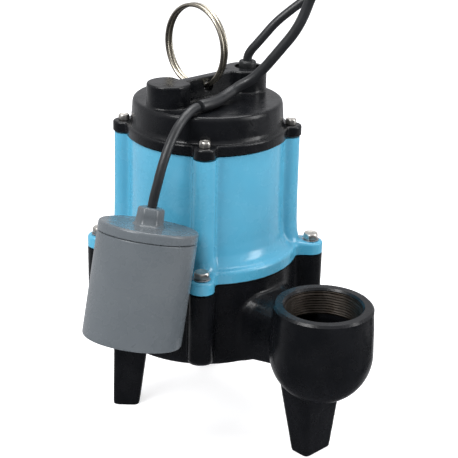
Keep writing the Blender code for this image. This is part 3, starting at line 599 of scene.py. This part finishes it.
def lugged(disc, lug_at, lug, height, prominence=1.0, fillet=3.0):
    """The outline of a flange or wall with four lugs, faded towards its disc by prominence."""
    points = []
    near = [0.5 * step for step in range(31)]
    far = [18.0 + 3.0 * step for step in range(9)] + [43.5]
    offsets = [-offset for offset in reversed((near + far)[1:])] + near + far
    for quarter in range(4):
        for offset in offsets:
            reach = lug_reach(offset, disc, lug_at, lug, fillet)
            radius = disc + prominence * (reach - disc)
            angle = math.radians(90.0 * quarter + offset)
            points.append((radius * math.cos(angle), radius * math.sin(angle), height))
    return points


def rounded_box(low, high, corner, steps=5):
    """Points of a box's outline with round corners, counter-clockwise."""
    centres = (
        (high[0] - corner, high[1] - corner, 0),
        (low[0] + corner, high[1] - corner, 90),
        (low[0] + corner, low[1] + corner, 180),
        (high[0] - corner, low[1] + corner, 270),
    )
    points = []
    for x, y, start in centres:
        points += arc((x, y), corner, start, start + 90, steps)
    return points


def smooth_route(points, spacing):
    """Points along a smooth curve through the route's points, about the spacing apart."""
    knots = [Vector(point) for point in points]
    ends = [2 * knots[0] - knots[1], *knots, 2 * knots[-1] - knots[-2]]
    route = [knots[0]]
    for before, start, end, after in zip(ends, ends[1:], ends[2:], ends[3:]):
        count = max(1, round((end - start).length / spacing))
        for index in range(1, count + 1):
            t = index / count
            bend = 2 * before - 5 * start + 4 * end - after
            twist = 3 * start - before - 3 * end + after
            route.append(0.5 * (2 * start + (end - before) * t + bend * t * t + twist * t**3))
    return route


def mesh_from(shape, name="scratch"):
    mesh = bpy.data.meshes.new(name)
    shape.to_mesh(mesh)
    shape.free()
    return mesh


def joined(shapes):
    """Several shapes in one bmesh."""
    whole = bmesh.new()
    for shape in shapes:
        mesh = mesh_from(shape)
        whole.from_mesh(mesh)
        bpy.data.meshes.remove(mesh)
    return whole


def with_modifiers(mesh, add_modifiers):
    """The mesh with modifiers applied. add_modifiers receives the temporary object."""
    obj = bpy.data.objects.new("scratch", mesh)
    bpy.context.scene.collection.objects.link(obj)
    add_modifiers(obj)
    graph = bpy.context.evaluated_depsgraph_get()
    result = bpy.data.meshes.new_from_object(obj.evaluated_get(graph))
    bpy.data.objects.remove(obj)
    return result


def fused(shapes, voxel, smoothing):
    """Overlapping closed shapes as one skin with soft edges and fillets, as a casting has."""

    def melt(obj):
        remesh = obj.modifiers.new("remesh", "REMESH")
        remesh.mode = "VOXEL"
        remesh.voxel_size = voxel
        smooth = obj.modifiers.new("smooth", "SMOOTH")
        smooth.factor = 0.5
        smooth.iterations = smoothing

    return with_modifiers(mesh_from(joined(shapes)), melt)


def cut(mesh, *shapes):
    """The mesh with each closed shape taken away from it."""
    for shape in shapes:
        tool = bpy.data.objects.new("tool", mesh_from(shape))
        bpy.context.scene.collection.objects.link(tool)

        def subtract(obj, tool=tool):
            boolean = obj.modifiers.new("cut", "BOOLEAN")
            boolean.operation = "DIFFERENCE"
            boolean.solver = "EXACT"
            boolean.object = tool

        mesh = with_modifiers(mesh, subtract)
        bpy.data.objects.remove(tool)
    return mesh


def moved(shape, matrix):
    bmesh.ops.transform(shape, matrix=matrix, verts=shape.verts)
    return shape


def rod(radius, low, high, steps):
    """A plain cylinder on the axis, used as a cutter."""
    return turned([(0.0, low), (radius, low), (radius, high), (0.0, high)], steps)


def bolt_holes(radius, low, high, distance):
    """Four cutters for the holes of the bolts that stand at a distance from the axis."""
    copies = []
    for index in range(4):
        angle = math.radians(90.0 * index)
        place = Matrix.Translation((distance * math.cos(angle), distance * math.sin(angle), 0.0))
        copies.append(moved(rod(radius, low, high, 24), place))
    return joined(copies)


def piece(name, mesh, finish, body, nodes=(), place=PUMP, crease=38.0):
    """Puts a mesh drawn in pump millimetres in the scene, on a body and in place of CAD nodes."""
    if isinstance(mesh, bmesh.types.BMesh):
        mesh = mesh_from(mesh)
    mesh.name = name
    mesh.transform(place)
    mesh.polygons.foreach_set("use_smooth", [True] * len(mesh.polygons))
    mesh.set_sharp_from_angle(angle=math.radians(crease))
    mesh.materials.clear()
    mesh.materials.append(FINISHES[finish])
    obj = bpy.data.objects.new(name, mesh)
    bpy.context.scene.collection.objects.link(obj)
    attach(obj, body)
    if nodes:
        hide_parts(*nodes)
    return obj


# ---- Cords --------------------


def cord_curve(name, points, diameter, body, nodes):
    """A cord as one smooth spline with round section and closed ends."""
    curve = bpy.data.curves.new(name, "CURVE")
    curve.dimensions = "3D"
    curve.bevel_depth = diameter / 2 * MM
    curve.bevel_resolution = 5
    curve.resolution_u = 3
    curve.use_fill_caps = True
    spline = curve.splines.new("BEZIER")
    spline.bezier_points.add(len(points) - 1)
    for knot, point in zip(spline.bezier_points, points):
        knot.co = PUMP @ Vector(point)
        knot.handle_left_type = "AUTO"
        knot.handle_right_type = "AUTO"
    curve.materials.append(FINISHES["cord_jacket"])
    obj = bpy.data.objects.new(name, curve)
    bpy.context.scene.collection.objects.link(obj)
    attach(obj, body)
    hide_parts(*nodes)
    return obj


def coil_points(coil, diameter, steps=20):
    """Three layers of three turns: in along the bottom, out along the middle, in along the top."""
    x, y, radius = coil
    turns = COIL_LAYERS * COIL_LAYERS - 0.5
    points = []
    for index in range(int(turns * steps) + 1):
        turn, part = divmod(index / steps, 1.0)
        layer, step = divmod(int(turn), COIL_LAYERS)
        change = max(0.0, (part - 1.0 + COIL_STEP_PART) / COIL_STEP_PART)
        ease = change * change * (3 - 2 * change)
        inward = step if layer % 2 == 0 else COIL_LAYERS - 1 - step
        direction = 1 if layer % 2 == 0 else -1
        climbs = step == COIL_LAYERS - 1
        column = inward + (0 if climbs else direction * ease)
        height = layer + (ease if climbs else 0.0)
        reach = radius + (1 - column) * diameter
        angle = math.pi + math.tau * (turn + part)
        z = diameter * (height + 0.5)
        points.append((x + reach * math.cos(angle), y + reach * math.sin(angle), z))
    return points


def tail_points(coil, diameter, inset, steps=9):
    """Half a turn that rolls up over its neighbour onto the coil, then in across it to the plug."""
    x, y, radius = coil
    low = diameter * (COIL_LAYERS - 0.5)
    points = []
    for step in range(1, 2 * steps + 1):
        t = step / (2 * steps)
        climb = min(1.0, t / 0.6)
        roll = math.pi / 2 * climb * climb * (3 - 2 * climb)
        angle = math.pi * t
        reach = radius - diameter * math.cos(roll)
        height = low + (diameter + 0.3) * math.sin(roll)
        points.append((x + reach * math.cos(angle), y + reach * math.sin(angle), height))
    turn = radius - inset
    for step in range(1, steps + 1):
        angle = math.pi + math.pi / 2 * step / steps
        points.append((x - inset + turn * math.cos(angle), y + turn * math.sin(angle), height))
    end = points[-1]
    points.append((end[0] + 3.0, end[1], end[2]))
    return points


def plug_body(name, start, diameter, half_width, half_height, back, nodes):
    """A moulded plug with a ribbed strain relief and a finger grip, pointing along +X."""
    relief_start = start.x + 0.3
    relief_end = relief_start + PLUG_RELIEF
    body_end = relief_end + PLUG_BODY
    rings = []

    def section(x, half_y, half_z, power):
        centre_z = back - half_height + half_z
        ring = []
        for index in range(40):
            angle = math.tau * index / 40
            cosine, sine = math.cos(angle), math.sin(angle)
            py = math.copysign(abs(cosine) ** power, cosine) * half_y
            pz = math.copysign(abs(sine) ** power, sine) * half_z
            ring.append((x, start.y + py, centre_z + pz))
        rings.append(ring)

    thin = diameter / 2 + 0.3
    ribs = 6
    for index in range(ribs):
        near = relief_start + 2.7 * index
        size = thin + 1.9 * index / ribs
        section(near, size * 0.93, size * 0.93, 1.0)
        section(near + 0.5, size, size, 1.0)
        section(near + 1.9, size, size, 1.0)
        section(near + 2.4, size * 0.93, size * 0.93, 1.0)
    section(relief_end - 1.5, half_width * 0.55, half_height * 0.50, 0.9)
    section(relief_end + 0.5, half_width * 0.80, half_height * 0.86, 0.7)
    section(relief_end + 3.5, half_width * 0.93, half_height * 0.98, 0.55)
    for grip in (8.0, 13.0, 18.0):
        section(relief_end + grip, half_width * 0.95, half_height, 0.5)
        section(relief_end + grip + 1.2, half_width * 0.90, half_height, 0.5)
        section(relief_end + grip + 2.8, half_width * 0.90, half_height, 0.5)
        section(relief_end + grip + 4.0, half_width * 0.95, half_height, 0.5)
    section(body_end - 6.0, half_width, half_height, 0.45)
    section(body_end - 1.0, half_width, half_height, 0.45)
    section(body_end, half_width - 1.0, half_height - 1.0, 0.45)
    return piece(name, loft(rings), "black_rubber", "pump", nodes, crease=50.0)


def strap(name, coil, diameter, node):
    """A hook-and-loop strap round one side of the coil, with its end lapped over the top."""
    x, y, radius = coil
    half = diameter * COIL_LAYERS / 2 + 1.0
    height = diameter * COIL_LAYERS + 0.3
    inner = rounded_box((radius - half, 0.5), (radius + half, height), 5.0)
    outer = rounded_box((radius - half - 1.1, 0.2), (radius + half + 1.1, height + 1.1), 6.0)
    rings = []
    for side, shrink in ((-5.0, 0.25), (-4.6, 0.0), (4.6, 0.0), (5.0, 0.25)):
        ring = []
        for (inner_r, inner_z), (outer_r, outer_z) in zip(inner, outer):
            ring.append((outer_r + (inner_r - outer_r) * shrink, outer_z + (inner_z - outer_z) * shrink))
        rings.append(([(x + r, y + side, z) for r, z in ring], [(x + r, y + side, z) for r, z in inner]))
    outside = [ring for ring, _ in rings]
    inside = [rings[-1][1], rings[0][1]]
    band = loft(outside + inside, loop=True)
    end = rounded_box((radius - 3.0, 0.0), (radius + 12.0, 1.2), 0.5)
    lap = loft([[(x + r, y + side, height + 1.1 + z) for r, z in end] for side in (-4.8, 4.8)])
    return piece(name, joined([band, lap]), "black_rubber", "pump", (node,))


def cords():
    """Both cords with their coils, straps and plugs, and the float's tether."""
    for prefix, route, coil, diameter, inset, (half_width, half_height) in (
        ("power", POWER_ROUTE, POWER_COIL, POWER_CORD, POWER_TAIL_INSET, POWER_PLUG_HALVES),
        ("float", FLOAT_ROUTE, FLOAT_COIL, FLOAT_CORD, FLOAT_TAIL_INSET, FLOAT_PLUG_HALVES),
    ):
        tail = tail_points(coil, diameter, inset)
        points = smooth_route(route, 20.0) + coil_points(coil, diameter) + tail
        nodes = [f"{prefix}_cord_{part}" for part in ("run", "coil", "tail")]
        line = cord_curve(f"{prefix}_cord", points, diameter, "pump", nodes)
        tie = strap(f"{prefix}_strap", coil, diameter, f"{prefix}_coil_tie")
        back = diameter * COIL_LAYERS + 0.3 + half_height
        end = Vector(tail[-1])
        moulded = plug_body(
            f"{prefix}_moulded_plug", end, diameter, half_width, half_height, back, (f"{prefix}_plug",)
        )
    points = smooth_route(TETHER_ROUTE, 7.0)
    tether = cord_curve("tether", points, TETHER, "float", ["float_tether"])


# ---- Castings --------------------


def leg(top, foot, twist_degrees=0.0):
    """A tapered leg between two rounded rectangles, each (x, y, half x, half y, height)."""
    turn = Matrix.Rotation(math.radians(twist_degrees), 4, "Z")
    rings = []
    for x, y, half_x, half_y, height in (top, foot):
        outline = rounded_box((-half_x, -half_y), (half_x, half_y), min(half_x, half_y) * 0.38)
        rings.append([turn @ Vector((px, py, 0)) + Vector((x, y, height)) for px, py in outline])
    return loft(rings)


def volute_neck(corner, ceiling):
    """The passage from the chamber to the discharge, flared where it meets the wall, up to a ceiling."""
    rings = []
    for out, half, low, high in (
        (58.0, 35.0, 72.0, 135.0),
        (66.0, 31.0, 72.2, 132.0),
        (72.0, 28.0, 73.3, 130.0),
        (80.0, 26.0, 77.0, 128.5),
        (100.0, 25.0, 80.5, 127.5),
        (118.0, 24.0, 81.5, 127.0),
    ):
        outline = rounded_box((-half, low), (half, min(high, ceiling)), corner)
        rings.append([across(t + 1.0, out, z) for t, z in outline])
    return loft(rings)


def volute_casing():
    """Pump chamber, discharge and three legs in one casting, whose bores are cut after it is fused."""
    wall = [
        lugged(disc, LOWER_BOLT_RADIUS, LOWER_LUG, height, prominence, 6.0)
        for height, disc, prominence in (
            (VOLUTE_TOP + 4.0, 74.2, 1.0),
            (93.5, 75.0, 1.0),
            (85.5, 75.4, 0.96),
            (80.5, 75.4, 0.72),
            (77.0, 75.0, 0.20),
            (73.5, 73.6, 0.0),
            (71.5, 71.0, 0.0),
        )
    ]
    bowl = [(0.0, BOWL_CENTRE - BOWL_RADIUS), *arc((0.0, BOWL_CENTRE), BOWL_RADIUS, -88, 0, 20)]
    bowl += [(39.4, 122.0), (OUTLET_RIM_RADIUS, 134.0)]
    bowl += [(OUTLET_RIM_RADIUS, OUTLET_RIM + 2.0), (0.0, OUTLET_RIM + 2.0)]
    front_top = across(4.0, 119.0, 0.0).xy
    front_foot = across(12.0, 116.5, 0.0).xy
    shapes = [
        loft(wall),
        volute_neck(corner=17.0, ceiling=200.0),
        volute_neck(corner=6.0, ceiling=106.0),
        turned(bowl, 96, OUTLET),
        leg((-59.0, -2.0, 16.0, 14.5, LEG_TOP), (-65.2, -2.0, 11.2, 12.0, FOOT)),
        leg((2.0, 62.0, 15.0, 13.0, LEG_TOP), (4.0, 77.5, 11.5, 9.5, FOOT)),
        leg((*front_top, 27.0, 17.0, FRONT_LEG_TOP), (*front_foot, 14.8, 9.2, FOOT), 45.0),
    ]
    skin = fused(shapes, 1.15, 9)
    chamber = [(0.0, 60.0), (27.0, 60.0), (26.0, 84.0), (64.0, 84.0), (66.0, 88.0), (66.0, VOLUTE_TOP)]
    chamber += [(114.0, VOLUTE_TOP), (114.0, 165.0), (0.0, 165.0)]
    thread_seat = THREAD_RADIUS + 1.6
    bore = [(0.0, 61.0), *arc((0.0, BOWL_CENTRE), 33.0, -80, 23, 16)]
    bore += [(thread_seat, OUTLET_RIM - 24.0), (thread_seat, OUTLET_RIM - 1.6), (31.3, OUTLET_RIM)]
    bore += [(36.9, OUTLET_RIM), (46.0, OUTLET_RIM - 9.1), (46.0, 150.0), (0.0, 150.0)]
    passage = rod(20.0, 0.0, 74.0, 48)
    outwards = Matrix.Translation(across(0.0, 60.0, 106.0)) @ Matrix.Rotation(math.radians(-45), 4, "Z")
    passage = moved(passage, outwards @ Matrix.Rotation(math.radians(90), 4, "Y"))
    holes = bolt_holes(3.4, 121.0, 150.0, LOWER_BOLT_RADIUS)
    skin = cut(skin, turned(chamber, 128), turned(bore, 96, OUTLET), passage, holes)
    piece("volute_shell", skin, "black_casting", "pump", ("volute_casing",))
    discharge_thread()


def discharge_thread():
    """The cut thread in the discharge, as a thin ring with a true helix on its inner face."""
    steps = 144
    per_turn = 12
    rows = THREAD_TURNS * per_turn
    top = OUTLET_RIM - 2.2
    rings = []
    for row in range(rows + 1):
        drop = row * THREAD_PITCH / per_turn
        ring = []
        for index in range(steps):
            angle = math.tau * index / steps
            phase = (drop / THREAD_PITCH + index / steps) % 1.0
            crest = 1.0 - abs(2.0 * phase - 1.0)
            fade = min(1.0, row / per_turn, (rows - row) / per_turn)
            radius = THREAD_RADIUS + 0.3 + THREAD_DEPTH * (1.0 - crest * fade)
            x = OUTLET.x + radius * math.cos(angle)
            y = OUTLET.y + radius * math.sin(angle)
            ring.append((x, y, top - drop))
        rings.append(ring)
    low = top - rows * THREAD_PITCH / per_turn
    outer = THREAD_RADIUS + 2.0
    rings.append(circle(outer, low, steps, OUTLET))
    rings.append(circle(outer, top, steps, OUTLET))
    piece("discharge_thread", loft(rings, loop=True), "cut_iron", "pump", crease=60.0)


def motor_housing():
    """The blue housing: a wall with four columns and a filleted lower flange."""
    flange = (LOWER_BOLT_RADIUS, LOWER_LUG)
    column = 65.0
    rings = [
        lugged(75.0, *flange, HOUSING_BOTTOM - 4.0, 1.0, 5.0),
        lugged(75.0, *flange, LOWER_FLANGE_TOP - 0.8, 1.0, 5.0),
        lugged(74.2, flange[0], flange[1] - 0.8, LOWER_FLANGE_TOP, 1.0, 5.0),
        lugged(70.2, column + 2.6, 10.6, LOWER_FLANGE_TOP + 1.2),
        lugged(66.6, column + 1.6, 10.0, LOWER_FLANGE_TOP + 4.5),
        lugged(64.3, column + 1.0, 9.6, LOWER_FLANGE_TOP + 9.5),
        lugged(62.9, column + 0.6, 9.3, LOWER_FLANGE_TOP + 18.0),
        lugged(62.2, column + 0.3, 9.1, LOWER_FLANGE_TOP + 40.0),
        lugged(62.0, column, 9.0, HOUSING_TOP + 4.0),
    ]
    skin = fused([loft(rings)], 1.0, 6)
    inside = [
        (0.0, HOUSING_BOTTOM - 12.0),
        (OUTSIDE, HOUSING_BOTTOM - 12.0),
        (OUTSIDE, HOUSING_BOTTOM),
        (SEAL_POCKET, HOUSING_BOTTOM),
        (SEAL_POCKET, 150.3),
        (SHAFT_HOLE, 150.3),
        (SHAFT_HOLE, BEARING_SEAT),
        (BEARING_POCKET, BEARING_SEAT),
        (BEARING_POCKET, BEARING_BOSS_TOP),
        (21.0, BEARING_BOSS_TOP),
        (22.0, HOUSING_FLOOR),
        (HOUSING_BORE, HOUSING_FLOOR),
        (HOUSING_BORE, HOUSING_TOP),
        (OUTSIDE, HOUSING_TOP),
        (OUTSIDE, HOUSING_TOP + 12.0),
        (0.0, HOUSING_TOP + 12.0),
    ]
    lower_holes = bolt_holes(3.6, 130.0, 166.0, LOWER_BOLT_RADIUS)
    upper_holes = bolt_holes(2.8, 226.0, 250.0, UPPER_BOLT_RADIUS)
    skin = cut(skin, turned(inside, 128), lower_holes, upper_holes)
    piece("housing_shell", skin, "blue_casting", "pump", ("motor_housing",))


def lobe(distance, outlet, radius, flat=None):
    """A round boss of the lifting rib. Its outline can end in a flat at a place along the web."""
    centre = across(distance, outlet, 0.0)
    outline = []
    for index in range(96):
        angle = math.tau * index / 96
        t = radius * math.cos(angle)
        if flat is not None:
            t = min(t, flat - distance)
        outline.append((t, radius * math.sin(angle)))
    rings = []
    for height, shrink in ((DECK - 6.0, 0.0), (RIB_TOP - 0.9, 0.0), (RIB_TOP, 0.9)):
        ring = []
        for t, n in outline:
            scale = 1.0 - shrink / radius
            ring.append(centre + across(t * scale, n * scale, height))
        rings.append(ring)
    return loft(rings)


def top_cover():
    """The black cover: flange with four lugs, domed wall, flat deck and the dog-bone lifting rib."""
    lug = (UPPER_BOLT_RADIUS, UPPER_LUG)
    rings = [
        lugged(64.5, *lug, COVER_BOTTOM - 4.0, 1.0, 3.5),
        lugged(64.3, *lug, COVER_FLANGE_TOP - 0.9, 1.0, 3.5),
        lugged(63.4, lug[0], lug[1] - 0.9, COVER_FLANGE_TOP, 1.0, 3.5),
        lugged(61.7, 61.7, 0.01, COVER_FLANGE_TOP + 0.1, 0.0),
        lugged(60.7, 60.7, 0.01, COVER_FLANGE_TOP + 3.0, 0.0),
        lugged(59.6, 59.6, 0.01, DECK - 3.0, 0.0),
        lugged(59.0, 59.0, 0.01, DECK - 1.0, 0.0),
        lugged(57.6, 57.6, 0.01, DECK, 0.0),
    ]
    corners = ((-40, -WEB_HALF), (41, -WEB_HALF), (41, WEB_HALF), (-40, WEB_HALF))
    web = loft([[across(t, n, z) for t, n in corners] for z in (DECK - 5.0, RIB_TOP)])
    left = lobe(-39.5, -2.5, 17.0, flat=-26.5)
    right = lobe(41.0, 0.0, 17.5)
    skin = fused([loft(rings), left, right, web], 0.7, 2)
    under = [
        (0.0, COVER_BOTTOM - 10.0),
        (OUTSIDE, COVER_BOTTOM - 10.0),
        (OUTSIDE, COVER_BOTTOM),
        (52.0, COVER_BOTTOM),
        (49.0, 264.0),
        (17.5, 264.0),
        (17.0, 253.3),
        (13.3, 253.3),
        (13.3, 262.3),
        (0.0, 262.3),
    ]
    eye = rod(5.0, -9.0, 9.0, 48)
    place = Matrix.Translation(across(RING_ACROSS, 0.0, RING_HOLE_HEIGHT))
    tip_over = Matrix.Rotation(math.radians(-45), 4, "Z") @ Matrix.Rotation(math.radians(90), 4, "Y")
    gland = [(0.0, 255.0), (4.6, 255.0), (4.6, 275.7), (6.1, 275.7), (6.1, 287.5), (10.6, 287.5)]
    gland += [(10.6, 295.0), (0.0, 295.0)]
    holes = bolt_holes(3.0, 238.0, 262.0, UPPER_BOLT_RADIUS)
    socket = turned(gland, 48, across(GLAND_ACROSS, 0, 0).xy)
    skin = cut(skin, turned(under, 128), moved(eye, place @ tip_over), socket, holes)
    piece("cover_shell", skin, "black_casting", "pump", ("top_cover",))


# ---- Fasteners, gland and ring --------------------


def hexagon_reach(angle):
    """Distance from the middle of a hexagon to its edge, for a corner distance of 1."""
    off_face = (angle % (math.pi / 3)) - math.pi / 6
    return math.cos(math.pi / 6) / math.cos(off_face)


def hexagon(corner, height, steps=48):
    """A hexagonal outline with slightly blunted corners."""
    ring = []
    for index in range(steps):
        angle = math.tau * index / steps
        reach = corner * min(hexagon_reach(angle), 0.94)
        ring.append((reach * math.cos(angle), reach * math.sin(angle), height))
    return ring


def hex_screw(corner, shank, seat, bottom, head):
    """A hexagon head with a turned chamfer and a slight dish, on a plain shank."""
    face = corner * math.cos(math.pi / 6)
    top = seat + head
    rings = [circle(shank, bottom, 48), circle(shank, seat, 48)]
    rings += [hexagon(corner * 0.97, seat), hexagon(corner, seat + 0.3), hexagon(corner, top - 1.1)]
    rings += [circle(face * 0.99, top - 0.35, 48), circle(face * 0.93, top, 48)]
    rings += [circle(face * 0.70, top, 48), circle(face * 0.62, top - 0.25, 48)]
    rings.append(circle(0.0, top - 0.25, 48))
    return loft(rings)


def washer(seat, inner, outer, thickness):
    """A flat ring with chamfered outer edges."""
    edge = [(inner, seat), (outer - 0.3, seat), (outer, seat + 0.3), (outer, seat + thickness - 0.3)]
    edge += [(outer - 0.3, seat + thickness), (inner, seat + thickness)]
    return turned(edge, 48)


def fasteners():
    """Four cover screws, and four flange bolts with their washers, each turned a little differently."""
    for number, side in enumerate(SIDES):
        angle = math.radians(90.0 * number)
        outward = Vector((math.cos(angle), math.sin(angle), 0.0))
        turn = Matrix.Rotation(math.radians(17.0 + 23.0 * number), 4, "Z")
        high = Matrix.Translation(outward * UPPER_BOLT_RADIUS) @ turn
        low = Matrix.Translation(outward * LOWER_BOLT_RADIUS) @ turn
        cap = hex_screw(corner=4.7, shank=2.3, seat=COVER_FLANGE_TOP + 0.3, bottom=228.0, head=4.4)
        cap = moved(cap, high)
        piece(f"cover_screw_head_{side}", cap, "stainless", "pump", (f"cover_screw_{side}",))
        bolt = hex_screw(corner=6.5, shank=3.0, seat=LUG_TOP + 1.5, bottom=124.0, head=4.8)
        bolt = moved(bolt, low)
        piece(f"flange_bolt_head_{side}", bolt, "stainless", "pump", (f"flange_bolt_{side}",))
        ring = moved(washer(LUG_TOP, inner=3.5, outer=6.9, thickness=1.2), low)
        piece(f"lock_washer_{side}", ring, "steel", "pump", (f"flange_washer_{side}",))


def gland():
    """The rubber-covered gland nut in its recess."""
    profile = [
        (3.75, 281.6),
        (5.7, 281.6),
        (5.7, 286.9),
        (7.1, 287.9),
        (7.1, 293.4),
        (6.5, 294.8),
        (4.8, 295.3),
        (3.75, 294.9),
    ]
    nut = moved(turned(rounded(profile, 0.7), 64), Matrix.Translation(across(GLAND_ACROSS, 0, 0)))
    piece("gland_nut_rubber", nut, "black_rubber", "pump", ("gland_nut",))


def tube_along(points, radii, sides=20):
    """A round solid along points, with a radius at each of them and flat ends."""
    rings = []
    normal = None
    for index, (point, radius) in enumerate(zip(points, radii)):
        ahead = points[min(index + 1, len(points) - 1)]
        behind = points[max(index - 1, 0)]
        along = (Vector(ahead) - Vector(behind)).normalized()
        if normal is None:
            normal = along.orthogonal().normalized()
        normal = (normal - along * normal.dot(along)).normalized()
        other = along.cross(normal)
        ring = []
        for side in range(sides):
            angle = math.tau * side / sides
            ring.append(Vector(point) + radius * (normal * math.cos(angle) + other * math.sin(angle)))
        rings.append(ring)
    return loft(rings)


def lifting_ring():
    """A split ring: two turns of wire side by side, stepping across where the turns change."""
    centre = across(RING_ACROSS, RING_OUTLET, RING_HEIGHT)
    steps = 240
    start = math.radians(-100)
    points = []
    for index in range(steps + 1):
        turn = 2 * index / steps
        step = min(1.0, max(0.0, (turn - 0.94) / 0.12))
        side = RING_PITCH * (step * step * (3 - 2 * step) - 0.5)
        angle = start + math.tau * turn * 0.995
        outlet = RING_RADIUS * math.cos(angle)
        points.append(centre + across(side, outlet, RING_RADIUS * math.sin(angle)))
    wire = tube_along(points, [RING_WIRE_RADIUS] * len(points))
    piece("split_ring", wire, "bright_wire", "ring", ("lifting_ring",), crease=60.0)


# ---- Float --------------------


def float_place():
    """Float space to pump space: Z runs up the float's axis from the middle of the cap's top face."""
    upward = (FLOAT_TOP - FLOAT_BOTTOM).normalized()
    side = Vector((1.0, 0.0, 0.0))
    side = (side - upward * side.dot(upward)).normalized()
    forward = upward.cross(side)
    return Matrix.Translation(FLOAT_TOP) @ Matrix((side, forward, upward)).transposed().to_4x4()


def float_shell():
    """The float's cap, its cup and the faceted neck that grips the tether."""
    float_lid()
    float_body()
    float_boss()


def float_lid():
    cap = [
        (0.0, -4.0),
        (FLOAT_INSIDE - 3.0, -4.0),
        (FLOAT_INSIDE - 3.0, -CAP_RIM - 5.0),
        (FLOAT_INSIDE - 0.3, -CAP_RIM - 5.0),
        (FLOAT_INSIDE - 0.3, -CAP_RIM - 0.1),
        (FLOAT_RADIUS - 0.5, -CAP_RIM - 0.1),
        (FLOAT_RADIUS, -CAP_RIM + 0.4),
        (FLOAT_RADIUS, 0.0),
        (FLOAT_RADIUS - 5.0, 0.0),
        (12.0, 0.1),
        (0.0, 0.1),
    ]
    shape = moved(turned(rounded(cap, 2.2, 6), 128), float_place())
    piece("float_lid", shape, "grey_float", "float", ("float_cap",), crease=50.0)


def float_body():
    cup = [
        (0.0, -FLOAT_LENGTH),
        (FLOAT_RADIUS - 6.0, -FLOAT_LENGTH),
        (FLOAT_RADIUS, -FLOAT_LENGTH + 0.3),
        (FLOAT_RADIUS + 0.05, -FLOAT_LENGTH + 10.0),
        (FLOAT_RADIUS, -CAP_RIM - 1.0),
        (FLOAT_RADIUS - 0.6, -CAP_RIM - 0.45),
        (FLOAT_INSIDE, -CAP_RIM - 0.45),
        (FLOAT_INSIDE, -FLOAT_LENGTH + 3.0),
        (0.0, -FLOAT_LENGTH + 3.0),
    ]
    shape = moved(turned(rounded(cup, 4.0, 8), 128), float_place())
    piece("float_body", shape, "grey_float", "float", ("float_cup",), crease=50.0)


def float_boss():
    """The neck, from rings of (size, height, how far its six facets are pressed in)."""
    steps = 72
    rings = []
    for size, height, facet in (
        (12.6, 0.1, 0.2),
        (11.2, 0.9, 0.5),
        (10.4, 2.4, 1.0),
        (10.0, 7.0, 1.0),
        (9.7, NECK_TOP - 1.4, 1.0),
        (9.1, NECK_TOP - 0.4, 1.0),
        (8.0, NECK_TOP, 0.9),
        (3.9, NECK_TOP, 0.0),
        (3.9, NECK_TOP - 2.0, 0.0),
        (0.0, NECK_TOP - 2.0, 0.0),
    ):
        if size == 0.0:
            rings.append([(0.0, 0.0, height)])
            continue
        ring = []
        for index in range(steps):
            angle = math.tau * index / steps
            flat = min(hexagon_reach(angle), 0.955)
            reach = size * (1.0 + facet * (flat - 0.93))
            ring.append((reach * math.cos(angle), reach * math.sin(angle), height))
        rings.append(ring)
    shape = moved(loft(rings), float_place())
    piece("float_boss", shape, "grey_float", "float", ("float_neck",), crease=40.0)


def cord_sleeve():
    """The moulded end of the float cord, whose open mouth the tether comes out of."""
    start = Vector(FLOAT_ROUTE[0])
    route = smooth_route(FLOAT_ROUTE[:5], 2.0)
    outward = (route[0] - route[1]).normalized()
    points = [start + outward * 2.2, start + outward * 1.9, start + outward * 1.0] + route
    radii = [4.25, 4.5, SLEEVE_RADIUS, SLEEVE_RADIUS]
    while len(radii) < len(points):
        radii.append(max(SLEEVE_END_RADIUS, SLEEVE_RADIUS - 0.012 * (len(radii) - 4)))
    sleeve = tube_along(points, radii, 32)
    piece("cord_sleeve", sleeve, "cord_jacket", "pump", crease=50.0)


# ---- Parts that keep their CAD shape --------------------


def finish_cad_nodes():
    """Gives every CAD node that is still shown its procedural material."""
    slots = {part["node"]: part["material_slot"] for part in frame["record"]["subparts"]}
    for name, obj in frame["nodes"].items():
        obj.data.materials.clear()
        obj.data.materials.append(FINISHES[slots[name]])


FINISHES = finishes()
finish_cad_nodes()
camera()
studio()
cords()
volute_casing()
motor_housing()
top_cover()
fasteners()
gland()
lifting_ring()
float_shell()
cord_sleeve()
